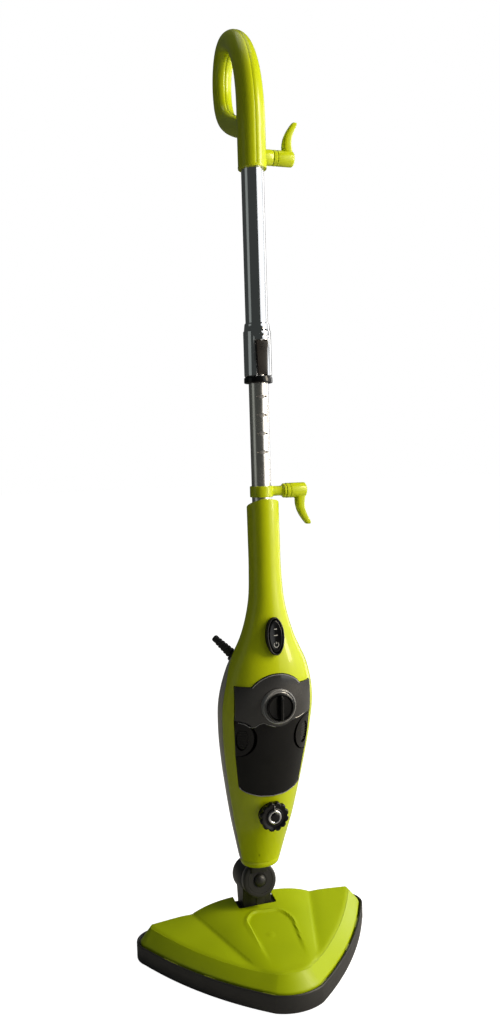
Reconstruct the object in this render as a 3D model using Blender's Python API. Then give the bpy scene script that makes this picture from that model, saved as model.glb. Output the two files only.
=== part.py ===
"""Steam mop: triangular head, swivel knuckle, steam unit with tank, telescopic pole, loop handle.

Frame: metres, +Z up, -Y towards the head's nose, the pole's axis on x = 0, y = 0, the floor at z = 0.
"""
import math

import bmesh
import bpy
from mathutils import Matrix, Vector

# ---------------------------------------------------------------- fits
GAP = 0.0003                    # between pieces that touch
RUN_GAP = 0.0005                # between pieces that slide or turn on each other

# ---------------------------------------------------------------- head
HEAD_HALF_WIDTH = 0.1600        # across the back corners, outside the skirt
HEAD_BACK = 0.1130              # y of the skirt's back
HEAD_NOSE = -0.0940             # y of the skirt's nose
HEAD_CORNER_RADIUS = 0.0280
HEAD_NOSE_RADIUS = 0.0620
HEAD_SIDE_BOW = math.radians(12.0)  # how far each side's ends turn in from a straight line
SOLE_THICKNESS = 0.0065
SOLE_INSET = 0.0060
STEAM_HOLE_RADIUS = 0.0022
MANIFOLD_HALF_WIDTH = 0.0780
MANIFOLD_FRONT = -0.0300
MANIFOLD_BACK = 0.0480
MANIFOLD_HEIGHT = 0.0100
MANIFOLD_WALL = 0.0020
NIPPLE_RADIUS = 0.0042
NIPPLE_HEIGHT = 0.0080
SKIRT_BOTTOM = 0.0030
SKIRT_TOP = 0.0250
SKIRT_WALL = 0.0028
SKIRT_LIP = 0.0035              # height of the ledge that laps the sole plate
COVER_BACK = 0.0870             # y of the cover's back edge
COVER_FOOT = 0.0110             # z of the cover's lower edge
COVER_SHOULDER = 0.0255         # z where the bevel starts
COVER_BEVEL = 0.0145            # how far in from the rim the bevel runs
COVER_WALL = 0.0026
CREASE_BACK_X = 0.0800          # half width of the raised bonnet at the back edge
CREASE_NOSE_X = 0.0340
CREASE_NOSE_Y = -0.0600
CREASE_BACK_Z = 0.0485          # height of the crease at the back edge
WING_RISE_X = 0.0850            # fall of a wing towards its corner, per metre
WING_RISE_Y = 0.0880            # rise of a wing towards the back, per metre
BONNET_BACK_RISE = 0.0115       # crown of the bonnet over its creases at the back
BONNET_NOSE_RISE = 0.0015
NOTCH_HALF_WIDTH = 0.0300       # opening in the cover for the knuckle's leg
NOTCH_FRONT = 0.0560

# ---------------------------------------------------------------- knuckle
PITCH_Y = 0.0770
PITCH_Z = 0.0400
PITCH_PIN_RADIUS = 0.0040
LEG_HALF_WIDTH = 0.0195
LEG_EYE_RADIUS = 0.0110
CHEEK_THICKNESS = 0.0075
CHEEK_TOP = 0.0560
CHEEK_SLOPE = 0.0020
CRADLE_FRONT = 0.0580
CRADLE_BACK = 0.0845
CRADLE_BASE = 0.0040
CRADLE_WEB = 0.0060             # thickness of the web between the cheeks, in front of the leg
CRADLE_EAR = 0.0080
CRADLE_SCREW_Y = 0.0640
BARREL_RADIUS = 0.0225
BARREL_LENGTH = 0.0540
BARREL_TILT = math.radians(13.0)
BARREL_CENTRE_Z = 0.0903
DISC_THICKNESS = 0.0120
END_CAP_THICKNESS = 0.0028
ROLL_PIN_RADIUS = 0.0060
ROLL_PIN_HEAD_RADIUS = 0.0080
ROLL_PIN_HEAD_HEIGHT = 0.0045
STEAM_BORE_RADIUS = 0.0030
SEAL_HEIGHT = 0.0020
SEAL_WIDTH = 0.0022
LUG_DROP = 0.0090               # stop lug under the front disc
LUG_HALF_WIDTH = 0.0055
NECK_HALF_WIDTH = 0.0110
NECK_HALF_DEPTH = 0.0052

# ---------------------------------------------------------------- casing
SHELL_WALL = 0.0024
# height, half width, half depth, y of the centre
CASING = (
    (0.1220, 0.0238, 0.0205, 0.0490),
    (0.1350, 0.0278, 0.0232, 0.0482),
    (0.1600, 0.0334, 0.0288, 0.0445),
    (0.1920, 0.0404, 0.0360, 0.0385),
    (0.2330, 0.0478, 0.0405, 0.0315),
    (0.2750, 0.0545, 0.0435, 0.0240),
    (0.3160, 0.0592, 0.0455, 0.0158),
    (0.3560, 0.0600, 0.0445, 0.0070),
    (0.3960, 0.0515, 0.0370, -0.0005),
    (0.4360, 0.0335, 0.0258, -0.0052),
    (0.4760, 0.0228, 0.0215, -0.0055),
    (0.5150, 0.0199, 0.0197, -0.0040),
    (0.5550, 0.0196, 0.0196, -0.0035),
    (0.6100, 0.0196, 0.0196, -0.0025),
)
CASING_BOTTOM = 0.1225
COLLAR_TOP = 0.1320
PARTING = 0.2000                # the parting line, as a share of the half depth in front of the centre
PARTING_GAP = 0.0004
NECK_TOP = 0.5940               # height of the sloping neck rim over the pole's axis
NECK_SLOPE = math.radians(22.0)
NECK_SOCKET = 0.0240            # how far down the neck grips the pole
NECK_TAPER = 0.0100             # length over which the room inside closes on the pole

# ---------------------------------------------------------------- tank
TANK_CAP_Z = 0.3550
TANK_CROWN_RADIUS = 0.0390      # round top of the tank, about the cap
TANK_HALF_WIDTH = 0.0486
TANK_WAIST_Z = 0.3350
TANK_FOOT_HALF_WIDTH = 0.0385
TANK_BOTTOM = 0.2335
TANK_EAR_Z = 0.3790
TANK_PROUD = 0.0015             # how far the tank stands out of the casing
TANK_WALL = 0.0020
TANK_BACK_TOP_Y = 0.0060
TANK_BACK_BOTTOM_Y = 0.0220
TANK_FIT = 0.0005
BAY_WALL = 0.0016
FILLER_RADIUS = 0.0210
FILLER_BORE_RADIUS = 0.0140
FILLER_FRONT_Y = -0.0450
FILLER_BACK_Y = -0.0240
CAP_RADIUS = 0.0172
CAP_HEIGHT = 0.0038
CAP_FIN_HEIGHT = 0.0065
CAP_FIN_HALF_WIDTH = 0.0026
CAP_STEM_LENGTH = 0.0120
CAP_SEAL_WIDTH = 0.0014
LATCH_Z = 0.3120
LATCH_HALF_HEIGHT = 0.0235
LATCH_REACH = 0.0215            # from the tank's side towards its middle
LATCH_SHOULDER = 0.0030         # straight stretch between the rounded end and the tank's side
LATCH_THICKNESS = 0.0060
LATCH_TRAVEL = 0.0025
OUTLET_Z = 0.2620
OUTLET_RADIUS = 0.0050
OUTLET_LENGTH = 0.0110
INLET_WALL = 0.0030

# ---------------------------------------------------------------- controls
SWITCH_Z = 0.4385
SWITCH_FACE_Y = -0.0315         # casing's face under the switch
SWITCH_TILT = math.radians(7.0)
SWITCH_HALF_WIDTH = 0.0115
SWITCH_HALF_HEIGHT = 0.0232
SWITCH_RIM = 0.0024
SWITCH_PROUD = 0.0065
SWITCH_END_ROOM = 0.0012        # room at the rocker's ends for its tilt
DIAL_Z = 0.2080
DIAL_RADIUS = 0.0190
DIAL_FRONT_Y = -0.0165
DIAL_BACK_Y = -0.0092
DIAL_FLUTES = 12
DIAL_FLUTE_DEPTH = 0.0016
DIAL_SHAFT_RADIUS = 0.0030
DIAL_BEZEL_RADIUS = 0.0160
DIAL_INSERT_RADIUS = 0.0066
GLAND_CENTRE = Vector((-0.0375, 0.0080, 0.4080))
GLAND_AXIS = Vector((-0.60, 0.46, 0.655)).normalized()
GLAND_RADIUS = 0.0085
BOOT_BASE_RADIUS = 0.0052
BOOT_TIP_RADIUS = 0.0037
BOOT_LENGTH = 0.0370

# ---------------------------------------------------------------- inside the casing
BOILER_RADIUS = 0.0160
BOILER_Y = 0.0410
BOILER_BOTTOM = 0.1680
BOILER_TOP = 0.2270
PUMP_RADIUS = 0.0120
PUMP_Y = 0.0400
PUMP_BOTTOM = 0.2900
PUMP_TOP = 0.3380
THERMOSTAT_RADIUS = 0.0080
THERMOSTAT_THICKNESS = 0.0040
VALVE_RADIUS = 0.0090
HOSE_RADIUS = 0.0030
PIPE_RADIUS = 0.0030

# ---------------------------------------------------------------- pole
LOWER_TUBE_RADIUS = 0.0118
TUBE_WALL = 0.0012
LOWER_TUBE_START = 0.5020
LOWER_TUBE_END = 0.8600
LOCK_HOLE_PITCH = 0.0221
LOCK_HOLE_COUNT = 6
LOCK_HOLE_HALF_WIDTH = 0.0060
LOCK_HOLE_HALF_HEIGHT = 0.0020
BUSH_HEIGHT = 0.0100
UPPER_TUBE_RADIUS = LOWER_TUBE_RADIUS + RUN_GAP + TUBE_WALL
RING_BOTTOM = 0.7420
RING_HEIGHT = 0.0080
RING_PROUD = 0.0005
HOUSING_WALL = 0.0032
HOUSING_HEIGHT = 0.0540
HOUSING_CONE = 0.0090
UPPER_TUBE_SHOWN = 0.1810       # between the housing and the handle
HANDLE_SOCKET = 0.0450          # how far the tube runs up the handle
LEVER_HALF_WIDTH = 0.0076
LEVER_LENGTH = 0.0400
LEVER_PIVOT_DROP = 0.0135       # from the lever's top to its pivot
LEVER_THICKNESS = 0.0030
LEVER_PIVOT_RADIUS = 0.0008
LEVER_PIVOT_DEPTH = 0.0013      # of the pivot's axis outside the housing's bore
LEVER_EYE_WALL = 0.0006
LOCK_TOOTH_DROP = 0.0084        # from the pivot to the locking tooth

# ---------------------------------------------------------------- handle
HANDLE_WALL = 0.0032
HANDLE_SHELL = 0.0028
# y and height over the handle's lower rim, then the radius as a share of the column's
LOOP = (
    (0.0000, 0.0000, 1.00),
    (0.0000, 0.0340, 1.00),
    (0.0000, 0.0590, 1.00),
    (0.0012, 0.0790, 0.98),
    (0.0045, 0.0990, 0.96),
    (0.0110, 0.1195, 0.94),
    (0.0215, 0.1390, 0.92),
    (0.0365, 0.1565, 0.89),
    (0.0560, 0.1695, 0.85),
    (0.0755, 0.1752, 0.81),
    (0.0925, 0.1715, 0.77),
    (0.1040, 0.1600, 0.74),
    (0.1102, 0.1440, 0.72),
    (0.1110, 0.1250, 0.71),
    (0.1062, 0.1060, 0.71),
    (0.0960, 0.0910, 0.71),
    (0.0805, 0.0800, 0.72),
    (0.0600, 0.0700, 0.73),
    (0.0370, 0.0610, 0.74),
    (0.0080, 0.0520, 0.74),
)

# ---------------------------------------------------------------- cord hooks
PEG_RADIUS = 0.0092
PEG_LENGTH = 0.0265
HOOK_RISE = 0.0335              # finger's length past the peg
HOOK_SPREAD = 0.0100            # how far the finger leans out
FINGER_HALF_DEPTH = 0.0062
FINGER_HALF_THICKNESS = 0.0041
STUB_RADIUS = 0.0034
STUB_LENGTH = 0.0060
UPPER_HOOK_RISE = 0.0150        # of the peg's axis over the handle's lower rim
UPPER_HOOK_SEAM_X = 0.0250
CLIP_Z = 0.6113
CLIP_HEIGHT = 0.0134
CLIP_WALL = 0.0020
CLIP_ARM_RADIUS = 0.0064
LOWER_HOOK_SEAM_X = 0.0305
CLIP_FLANGE = 0.0030

# ---------------------------------------------------------------- fasteners
SCREW_HEAD_RADIUS = 0.0029
SCREW_HEAD_HEIGHT = 0.0020
SCREW_SHANK_RADIUS = 0.0015
SCREW_LENGTH = 0.0090
# x and height of each screw in the rear shell
SHELL_SCREWS = ((-0.018, 0.190), (0.018, 0.190), (-0.036, 0.345), (0.036, 0.345), (0.0, 0.480))

# ---------------------------------------------------------------- worked-out levels
HOUSING_BOTTOM = RING_BOTTOM + RING_HEIGHT + GAP
HOUSING_TOP = HOUSING_BOTTOM + HOUSING_HEIGHT
CONE_TOP = HOUSING_TOP + HOUSING_CONE
UPPER_TUBE_START = HOUSING_TOP - 0.0010
HANDLE_RIM = CONE_TOP + UPPER_TUBE_SHOWN
UPPER_TUBE_END = HANDLE_RIM + HANDLE_SOCKET
LOWER_BORE = LOWER_TUBE_RADIUS + GAP
RUNNING_BORE = LOWER_TUBE_RADIUS + RUN_GAP
UPPER_BORE = UPPER_TUBE_RADIUS + GAP
HOUSING_RADIUS = UPPER_TUBE_RADIUS + HOUSING_WALL
COLUMN_RADIUS = UPPER_TUBE_RADIUS + GAP + HANDLE_WALL
LEVER_TOP = HOUSING_BOTTOM + 0.0015 + LEVER_LENGTH
LEVER_PIVOT_Z = LEVER_TOP - LEVER_PIVOT_DROP
LEVER_Y = -HOUSING_RADIUS - 0.0006
LEVER_PIVOT_Y = -RUNNING_BORE - LEVER_PIVOT_DEPTH
LOCK_TOOTH_Z = LEVER_PIVOT_Z - LOCK_TOOTH_DROP
BARREL_AXIS = Vector((0, -math.cos(BARREL_TILT), math.sin(BARREL_TILT)))
BARREL_CENTRE = Vector((0, PITCH_Y, BARREL_CENTRE_Z))
DISC_FRONT = BARREL_LENGTH / 2
DISC_BACK = DISC_FRONT - DISC_THICKNESS
LEG_FRONT = DISC_BACK - RUN_GAP
LEG_BACK = -BARREL_LENGTH / 2 + END_CAP_THICKNESS + GAP
FORWARD = Vector((0, -1, 0))
UP = Vector((0, 0, 1))
SIDE = Vector((1, 0, 0))
SWITCH_AXIS = Vector((0, -math.cos(SWITCH_TILT), math.sin(SWITCH_TILT)))

SEGMENTS = 20
SMALL_SEGMENTS = 12

# colour, roughness, metallic
LIME = ((0.42, 0.46, 0.006), 0.22, 0.0)
WARM_GREY = ((0.36, 0.34, 0.30), 0.35, 0.0)
BLACK = ((0.016, 0.016, 0.018), 0.38, 0.0)
SMOKE = ((0.030, 0.030, 0.032), 0.12, 0.0)
RUBBER = ((0.020, 0.020, 0.020), 0.70, 0.0)
CHROME = ((0.62, 0.62, 0.64), 0.10, 1.0)
STEEL = ((0.50, 0.50, 0.50), 0.30, 1.0)
ALUMINIUM = ((0.66, 0.66, 0.67), 0.40, 1.0)
BRASS = ((0.65, 0.45, 0.16), 0.30, 1.0)


# ================================================================ tools
def clear_scene():
    for old in list(bpy.data.objects):
        bpy.data.objects.remove(old, do_unlink=True)


def finish(node, look):
    colour, roughness, metallic = look
    material = bpy.data.materials.new(node)
    material.use_nodes = True
    shader = material.node_tree.nodes["Principled BSDF"]
    shader.inputs["Base Color"].default_value = (*colour, 1.0)
    shader.inputs["Roughness"].default_value = roughness
    shader.inputs["Metallic"].default_value = metallic
    return material


def from_bmesh(node, bm, look=None):
    """An object from a bmesh; with no look it is a cutter, which isn't part of the model."""
    bmesh.ops.recalc_face_normals(bm, faces=bm.faces)
    if bm.calc_volume(signed=True) < 0:
        bmesh.ops.reverse_faces(bm, faces=bm.faces)
    mesh = bpy.data.meshes.new(node)
    bm.to_mesh(mesh)
    bm.free()
    thing = bpy.data.objects.new(node, mesh)
    bpy.context.scene.collection.objects.link(thing)
    if look is None:
        thing.hide_render = True
        thing.display_type = "WIRE"
    else:
        mesh.materials.append(finish(node, look))
        mesh.shade_smooth()
        mesh.set_sharp_from_angle(angle=math.radians(35))
    return thing


def loft(node, rings, look=None, around=False):
    """A closed solid through rings of equal length; around joins the last ring to the first."""
    bm = bmesh.new()
    rows = [[bm.verts.new(point) for point in ring] for ring in rings]
    count = len(rows[0])
    steps = len(rows) if around else len(rows) - 1
    for i in range(steps):
        lower, upper = rows[i], rows[(i + 1) % len(rows)]
        for j in range(count):
            k = (j + 1) % count
            bm.faces.new((lower[j], lower[k], upper[k], upper[j]))
    if not around:
        bm.faces.new(rows[0][::-1])
        bm.faces.new(rows[-1])
    return from_bmesh(node, bm, look)


def frame_at(centre, axis):
    """Matrix that takes local Z to the axis and the origin to the centre, with local X kept level."""
    z = Vector(axis).normalized()
    x = Vector((1, 0, 0)) if abs(z.x) < 0.9 else Vector((0, 1, 0))
    y = z.cross(x).normalized()
    x = y.cross(z).normalized()
    turn = Matrix((x, y, z)).transposed().to_4x4()
    return Matrix.Translation(centre) @ turn


def turned(node, profile, look=None, centre=(0, 0, 0), axis=UP, segments=SEGMENTS):
    """A turned solid: profile points are (radius, height along the axis), as a closed loop."""
    place = frame_at(centre, axis)
    bm = bmesh.new()
    first = [bm.verts.new((r, 0, h)) for r, h in profile]
    edges = [bm.edges.new((first[i], first[(i + 1) % len(first)])) for i in range(len(first))]
    bmesh.ops.spin(bm, geom=first + edges, cent=(0, 0, 0), axis=(0, 0, 1), dvec=(0, 0, 0),
                   angle=math.tau, steps=segments, use_merge=True, use_duplicate=False)
    bmesh.ops.remove_doubles(bm, verts=bm.verts, dist=1e-7)
    bmesh.ops.dissolve_degenerate(bm, edges=bm.edges, dist=1e-7)
    loose = [edge for edge in bm.edges if not edge.link_faces]
    bmesh.ops.delete(bm, geom=loose, context="EDGES")
    bm.transform(place)
    return from_bmesh(node, bm, look)


def rod(node, radius, start, end, look=None, centre=(0, 0, 0), axis=UP, segments=SEGMENTS):
    """A plain round bar between two heights along the axis."""
    return loft(node, [circle(radius, h, centre, axis, segments) for h in (start, end)], look)


def circle(radius, height, centre=(0, 0, 0), axis=UP, segments=SEGMENTS):
    place = frame_at(centre, axis)
    angles = [math.tau * (i + 0.5) / segments for i in range(segments)]
    return [place @ Vector((radius * math.cos(a), radius * math.sin(a), height)) for a in angles]


def pipe(node, outer, inner, start, end, look=None, centre=(0, 0, 0), axis=UP, segments=SEGMENTS):
    profile = [(inner, start), (outer, start), (outer, end), (inner, end)]
    return turned(node, profile, look, centre, axis, segments)


def box(node, low, high, look=None):
    (x0, y0, z0), (x1, y1, z1) = low, high
    corners = [(x0, y0), (x1, y0), (x1, y1), (x0, y1)]
    return loft(node, [[(x, y, z) for x, y in corners] for z in (z0, z1)], look)


def combine(target, operand, operation):
    """Cut, add or intersect with a hidden operand, by a live Boolean modifier."""
    modifier = target.modifiers.new(operand.name, "BOOLEAN")
    modifier.operation = operation
    modifier.solver = "EXACT"
    modifier.object = operand
    return target


def cut(target, *operands):
    for operand in operands:
        combine(target, operand, "DIFFERENCE")
    return target


def add(target, *operands):
    for operand in operands:
        combine(target, operand, "UNION")
    return target


def keep_inside(target, operand):
    return combine(target, operand, "INTERSECT")


def pivot(name, location, parent=None):
    """An empty on a joint's axis, which carries the pieces that move on it."""
    empty = bpy.data.objects.new(name, None)
    bpy.context.scene.collection.objects.link(empty)
    empty.location = location
    empty["at"] = tuple(location)
    if parent is not None:
        empty.parent = parent
        empty.matrix_parent_inverse = Matrix.Translation(-Vector(parent["at"]))
    return empty


def carry(empty, *pieces):
    for piece in pieces:
        piece.parent = empty
        piece.matrix_parent_inverse = Matrix.Translation(-Vector(empty["at"]))


def smooth(points, samples):
    """Points along a smooth curve through the given ones (Catmull-Rom), ends included."""
    values = [Vector(p) for p in points]
    result = []
    for i in range(len(values) - 1):
        before = values[max(i - 1, 0)]
        here, after = values[i], values[i + 1]
        beyond = values[min(i + 2, len(values) - 1)]
        for k in range(samples):
            t = k / samples
            result.append(0.5 * (2 * here + (after - before) * t
                                 + (2 * before - 5 * here + 4 * after - beyond) * t ** 2
                                 + (3 * here - before - 3 * after + beyond) * t ** 3))
    return result + [values[-1]]


def hose(node, route, radius, look):
    """A round hose along a smooth route, straight at both ends."""
    curve = bpy.data.curves.new(node, "CURVE")
    curve.dimensions = "3D"
    curve.bevel_depth = radius
    curve.bevel_resolution = 2
    curve.use_fill_caps = True
    line = curve.splines.new("POLY")
    points = [Vector(route[0])] + smooth(route[1:-1], 4) + [Vector(route[-1])]
    line.points.add(len(points) - 1)
    for target, point in zip(line.points, points):
        target.co = (*point, 1.0)
    curve.materials.append(finish(node, look))
    thing = bpy.data.objects.new(node, curve)
    bpy.context.scene.collection.objects.link(thing)
    return thing


def screw(node, head_centre, axis):
    """A pan-head screw; the axis points out of its head."""
    profile = [(0, -SCREW_LENGTH), (SCREW_SHANK_RADIUS, -SCREW_LENGTH), (SCREW_SHANK_RADIUS,
                                                                         -SCREW_HEAD_HEIGHT),
               (SCREW_HEAD_RADIUS, -SCREW_HEAD_HEIGHT), (SCREW_HEAD_RADIUS, -0.0006),
               (SCREW_HEAD_RADIUS * 0.7, 0),
               (0, 0)]
    return turned(node, profile, STEEL, head_centre, axis, segments=12)


# ================================================================ head
def arc(centre, radius, start, end, steps):
    angles = [start + (end - start) * i / steps for i in range(steps + 1)]
    return [centre + radius * Vector((math.cos(a), math.sin(a))) for a in angles]


def head_half(inset, back=None):
    """Right half of the head's plan, from its back to its nose, moved in by the inset.

    With back given, the half starts on that line instead of on the middle of the back edge.
    """
    corner = Vector((HEAD_HALF_WIDTH - HEAD_CORNER_RADIUS, HEAD_BACK - HEAD_CORNER_RADIUS))
    nose = Vector((0, HEAD_NOSE + HEAD_NOSE_RADIUS))
    line = (nose - corner).normalized()
    outward = Vector((-line.y, line.x))
    if outward.x < 0:
        outward = -outward
    side_angle = math.atan2(outward.y, outward.x)
    corner_radius = HEAD_CORNER_RADIUS - inset
    nose_radius = HEAD_NOSE_RADIUS - inset
    start_angle = math.pi / 2
    if back is not None:
        start_angle = math.asin(min(1.0, (back - corner.y) / corner_radius))
    leave, meet = side_angle + HEAD_SIDE_BOW, side_angle - HEAD_SIDE_BOW
    points = arc(corner, corner_radius, start_angle, leave, 6)
    start = points[-1]
    end = nose + nose_radius * Vector((math.cos(meet), math.sin(meet)))
    # the side runs tangent to both arcs, so its control point is where their tangents cross
    chord = end - start
    control = start + chord / 2 + outward * chord.length / 2 * math.tan(HEAD_SIDE_BOW)
    for i in range(1, 8):
        t = i / 8
        points.append((1 - t) ** 2 * start + 2 * t * (1 - t) * control + t * t * end)
    points += arc(nose, nose_radius, meet, -math.pi / 2, 7)
    return points


def head_plan(inset, height, back=None):
    """Whole plan as a closed ring at one height."""
    right = head_half(inset, back)
    left = [Vector((-p.x, p.y)) for p in reversed(right[:-1])]
    return [(p.x, p.y, height) for p in right + left]


def crease_x(y):
    share = (y - CREASE_NOSE_Y) / (COVER_BACK - CREASE_NOSE_Y)
    return CREASE_NOSE_X + (CREASE_BACK_X - CREASE_NOSE_X) * share


def cover_height(x, y):
    """Top of the cover: two sloping wings and a crowned bonnet between the creases."""
    wing = CREASE_BACK_Z + WING_RISE_X * (CREASE_BACK_X - abs(x)) + WING_RISE_Y * (y - COVER_BACK)
    half = crease_x(y)
    if abs(x) >= half:
        return wing
    foot = CREASE_BACK_Z + WING_RISE_X * (CREASE_BACK_X - half) + WING_RISE_Y * (y - COVER_BACK)
    share = (y - CREASE_NOSE_Y) / (COVER_BACK - CREASE_NOSE_Y)
    rise = BONNET_NOSE_RISE + (BONNET_BACK_RISE - BONNET_NOSE_RISE) * max(0.0, share)
    return foot + rise * (1 - (abs(x) / half) ** 2.2)


def cover_blank(node, inset, foot, drop, look=None):
    """The cover's outer form, or with an inset and a drop the room inside it."""
    back = COVER_BACK - (inset - SKIRT_WALL)
    rim = SKIRT_WALL + GAP + 0.0020 + inset
    top = rim + COVER_BEVEL
    bm = bmesh.new()
    rings = []
    rings.append([Vector((x, y, foot)) for x, y, _ in head_plan(rim, 0, back)])
    rings.append([Vector((x, y, COVER_SHOULDER - drop)) for x, y, _ in head_plan(rim, 0, back)])
    edge = []
    for x, y, _ in head_plan(top, 0, min(back, HEAD_BACK - top - 0.0005)):
        edge.append(Vector((x, y, 0)))
    # the bevel's upper edge keeps to the back line where the rim meets it
    edge[0].y = back
    edge[-1].y = back
    rings.append([Vector((p.x, p.y, cover_height(p.x, p.y) - drop)) for p in edge])
    for share in (0.3, 0.6, 0.85):
        ring = []
        for p in edge:
            spine_y = min(back, max(p.y, CREASE_NOSE_Y + 0.006))
            x = p.x * (1 - share)
            y = p.y + (spine_y - p.y) * share
            ring.append(Vector((x, y, cover_height(x, y) - drop)))
        rings.append(ring)
    rows = [[bm.verts.new(p) for p in ring] for ring in rings]
    count = len(rows[0])
    for lower, upper in zip(rows, rows[1:]):
        for j in range(count):
            k = (j + 1) % count
            bm.faces.new((lower[j], lower[k], upper[k], upper[j]))
    bm.faces.new(rows[0][::-1])
    last = rows[-1]
    half = count // 2
    for j in range(half):
        a, b = last[j], last[j + 1]
        c, d = last[count - 2 - j], last[count - 1 - j]
        quad = []
        for vert in (a, b, c, d):
            if vert not in quad:
                quad.append(vert)
        if len(quad) > 2:
            bm.faces.new(quad)
    bmesh.ops.triangulate(bm, faces=[f for f in bm.faces if len(f.verts) > 4])
    return from_bmesh(node, bm, look)


def sole_plate():
    plate = loft("sole_plate", [head_plan(SOLE_INSET + 0.0012, 0.0), head_plan(SOLE_INSET, 0.0012),
                                head_plan(SOLE_INSET, SOLE_THICKNESS)], BLACK)
    spots = [(x, 0.036) for x in (-0.066, -0.022, 0.022, 0.066)]
    spots += [(x, 0.012) for x in (-0.044, 0.0, 0.044)]
    spots += [(x, -0.016) for x in (-0.022, 0.022)]
    for number, (x, y) in enumerate(spots, 1):
        cut(plate, rod(f"steam_hole_{number}", STEAM_HOLE_RADIUS, -0.002, SOLE_THICKNESS + 0.002,
                       centre=(x, y, 0), segments=10))
    return plate


def bumper_skirt():
    """Wall round the head with a ledge that laps the sole plate's edge."""
    ledge = SOLE_INSET - GAP
    section = ((0, SKIRT_BOTTOM), (0, SKIRT_TOP - 0.0012), (0.0008, SKIRT_TOP), (SKIRT_WALL, SKIRT_TOP),
               (SKIRT_WALL, SKIRT_BOTTOM + SKIRT_LIP), (ledge, SKIRT_BOTTOM + SKIRT_LIP),
               (ledge, SKIRT_BOTTOM))
    return loft("bumper_skirt", [head_plan(inset, z) for inset, z in section], BLACK, around=True)


def head_cover():
    cover = cover_blank("head_cover", 0.0, COVER_FOOT, 0.0, LIME)
    cut(cover, cover_blank("cover_room", COVER_WALL, COVER_FOOT - 0.004, COVER_WALL))
    cut(cover, box("cover_notch", (-NOTCH_HALF_WIDTH, NOTCH_FRONT, COVER_FOOT + 0.004),
                   (NOTCH_HALF_WIDTH, COVER_BACK + 0.06, 0.09)))
    return cover


def steam_manifold():
    """Steam box over the sole plate's holes, open below, with an inlet nipple."""
    low = SOLE_THICKNESS + GAP
    high = low + MANIFOLD_HEIGHT
    wall = MANIFOLD_WALL
    x, front, back = MANIFOLD_HALF_WIDTH, MANIFOLD_FRONT, MANIFOLD_BACK
    manifold = box("steam_manifold", (-x, front, low), (x, back, high), BLACK)
    add(manifold, rod("manifold_nipple", NIPPLE_RADIUS, -wall, NIPPLE_HEIGHT, centre=(0, back - 0.018, high),
                      segments=SMALL_SEGMENTS))
    cut(manifold, box("manifold_room", (-x + wall, front + wall, low - 0.01), (x - wall, back - wall,
                                                                               high - wall)))
    cut(manifold, rod("nipple_bore", NIPPLE_RADIUS * 0.5, -0.01, NIPPLE_HEIGHT + 0.01,
                      centre=(0, back - 0.018, high),
                      segments=SMALL_SEGMENTS))
    return manifold


def hinge_cradle():
    """Thick cheeks joined by a web, on a base screwed to the sole plate; they hold the pitch pin."""
    low = SOLE_THICKNESS + GAP
    inner = LEG_HALF_WIDTH + RUN_GAP
    outer = inner + CHEEK_THICKNESS
    wide = outer + CRADLE_EAR
    cradle = box("hinge_cradle", (-wide, CRADLE_FRONT, low), (wide, CRADLE_BACK, low + CRADLE_BASE), BLACK)
    side = [(CRADLE_FRONT, low), (CRADLE_BACK, low), (CRADLE_BACK, CHEEK_TOP),
            (CRADLE_FRONT, CHEEK_TOP - CHEEK_SLOPE)]
    block = loft("cradle_block", [[(x, y, z) for y, z in side] for x in (-outer, outer)])
    cut(block, box("leg_room", (-inner, CRADLE_FRONT + CRADLE_WEB, low + CRADLE_BASE),
                   (inner, CRADLE_BACK + 0.01, 0.1)))
    add(cradle, block)
    for sign, name in ((-1, "left"), (1, "right")):
        cut(cradle, rod(f"cradle_screw_hole_{name}", SCREW_SHANK_RADIUS + GAP, -0.01, 0.02,
                        centre=(sign * (outer + CRADLE_EAR / 2), CRADLE_SCREW_Y, low),
                        segments=SMALL_SEGMENTS))
    cut(cradle, rod("cradle_pin_hole", PITCH_PIN_RADIUS + GAP, -wide, wide, centre=(0, PITCH_Y, PITCH_Z),
                    axis=SIDE))
    return cradle


def cradle_screws():
    top = SOLE_THICKNESS + GAP + CRADLE_BASE + GAP
    x = LEG_HALF_WIDTH + RUN_GAP + CHEEK_THICKNESS + CRADLE_EAR / 2
    profile = [(0, -0.0038), (SCREW_SHANK_RADIUS, -0.0038), (SCREW_SHANK_RADIUS, 0), (SCREW_HEAD_RADIUS, 0),
               (SCREW_HEAD_RADIUS, 0.0014), (0, SCREW_HEAD_HEIGHT)]
    result = []
    for number, sign in enumerate((-1, 1), 1):
        result.append(turned(f"cradle_screw_{number}", profile, STEEL, (sign * x, CRADLE_SCREW_Y, top), UP,
                             segments=SMALL_SEGMENTS))
    return result


def pitch_pin():
    half = LEG_HALF_WIDTH + RUN_GAP + CHEEK_THICKNESS - 0.0010
    return rod("pitch_pin", PITCH_PIN_RADIUS, -half, half, STEEL, (0, PITCH_Y, PITCH_Z), SIDE,
               SMALL_SEGMENTS)


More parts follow.
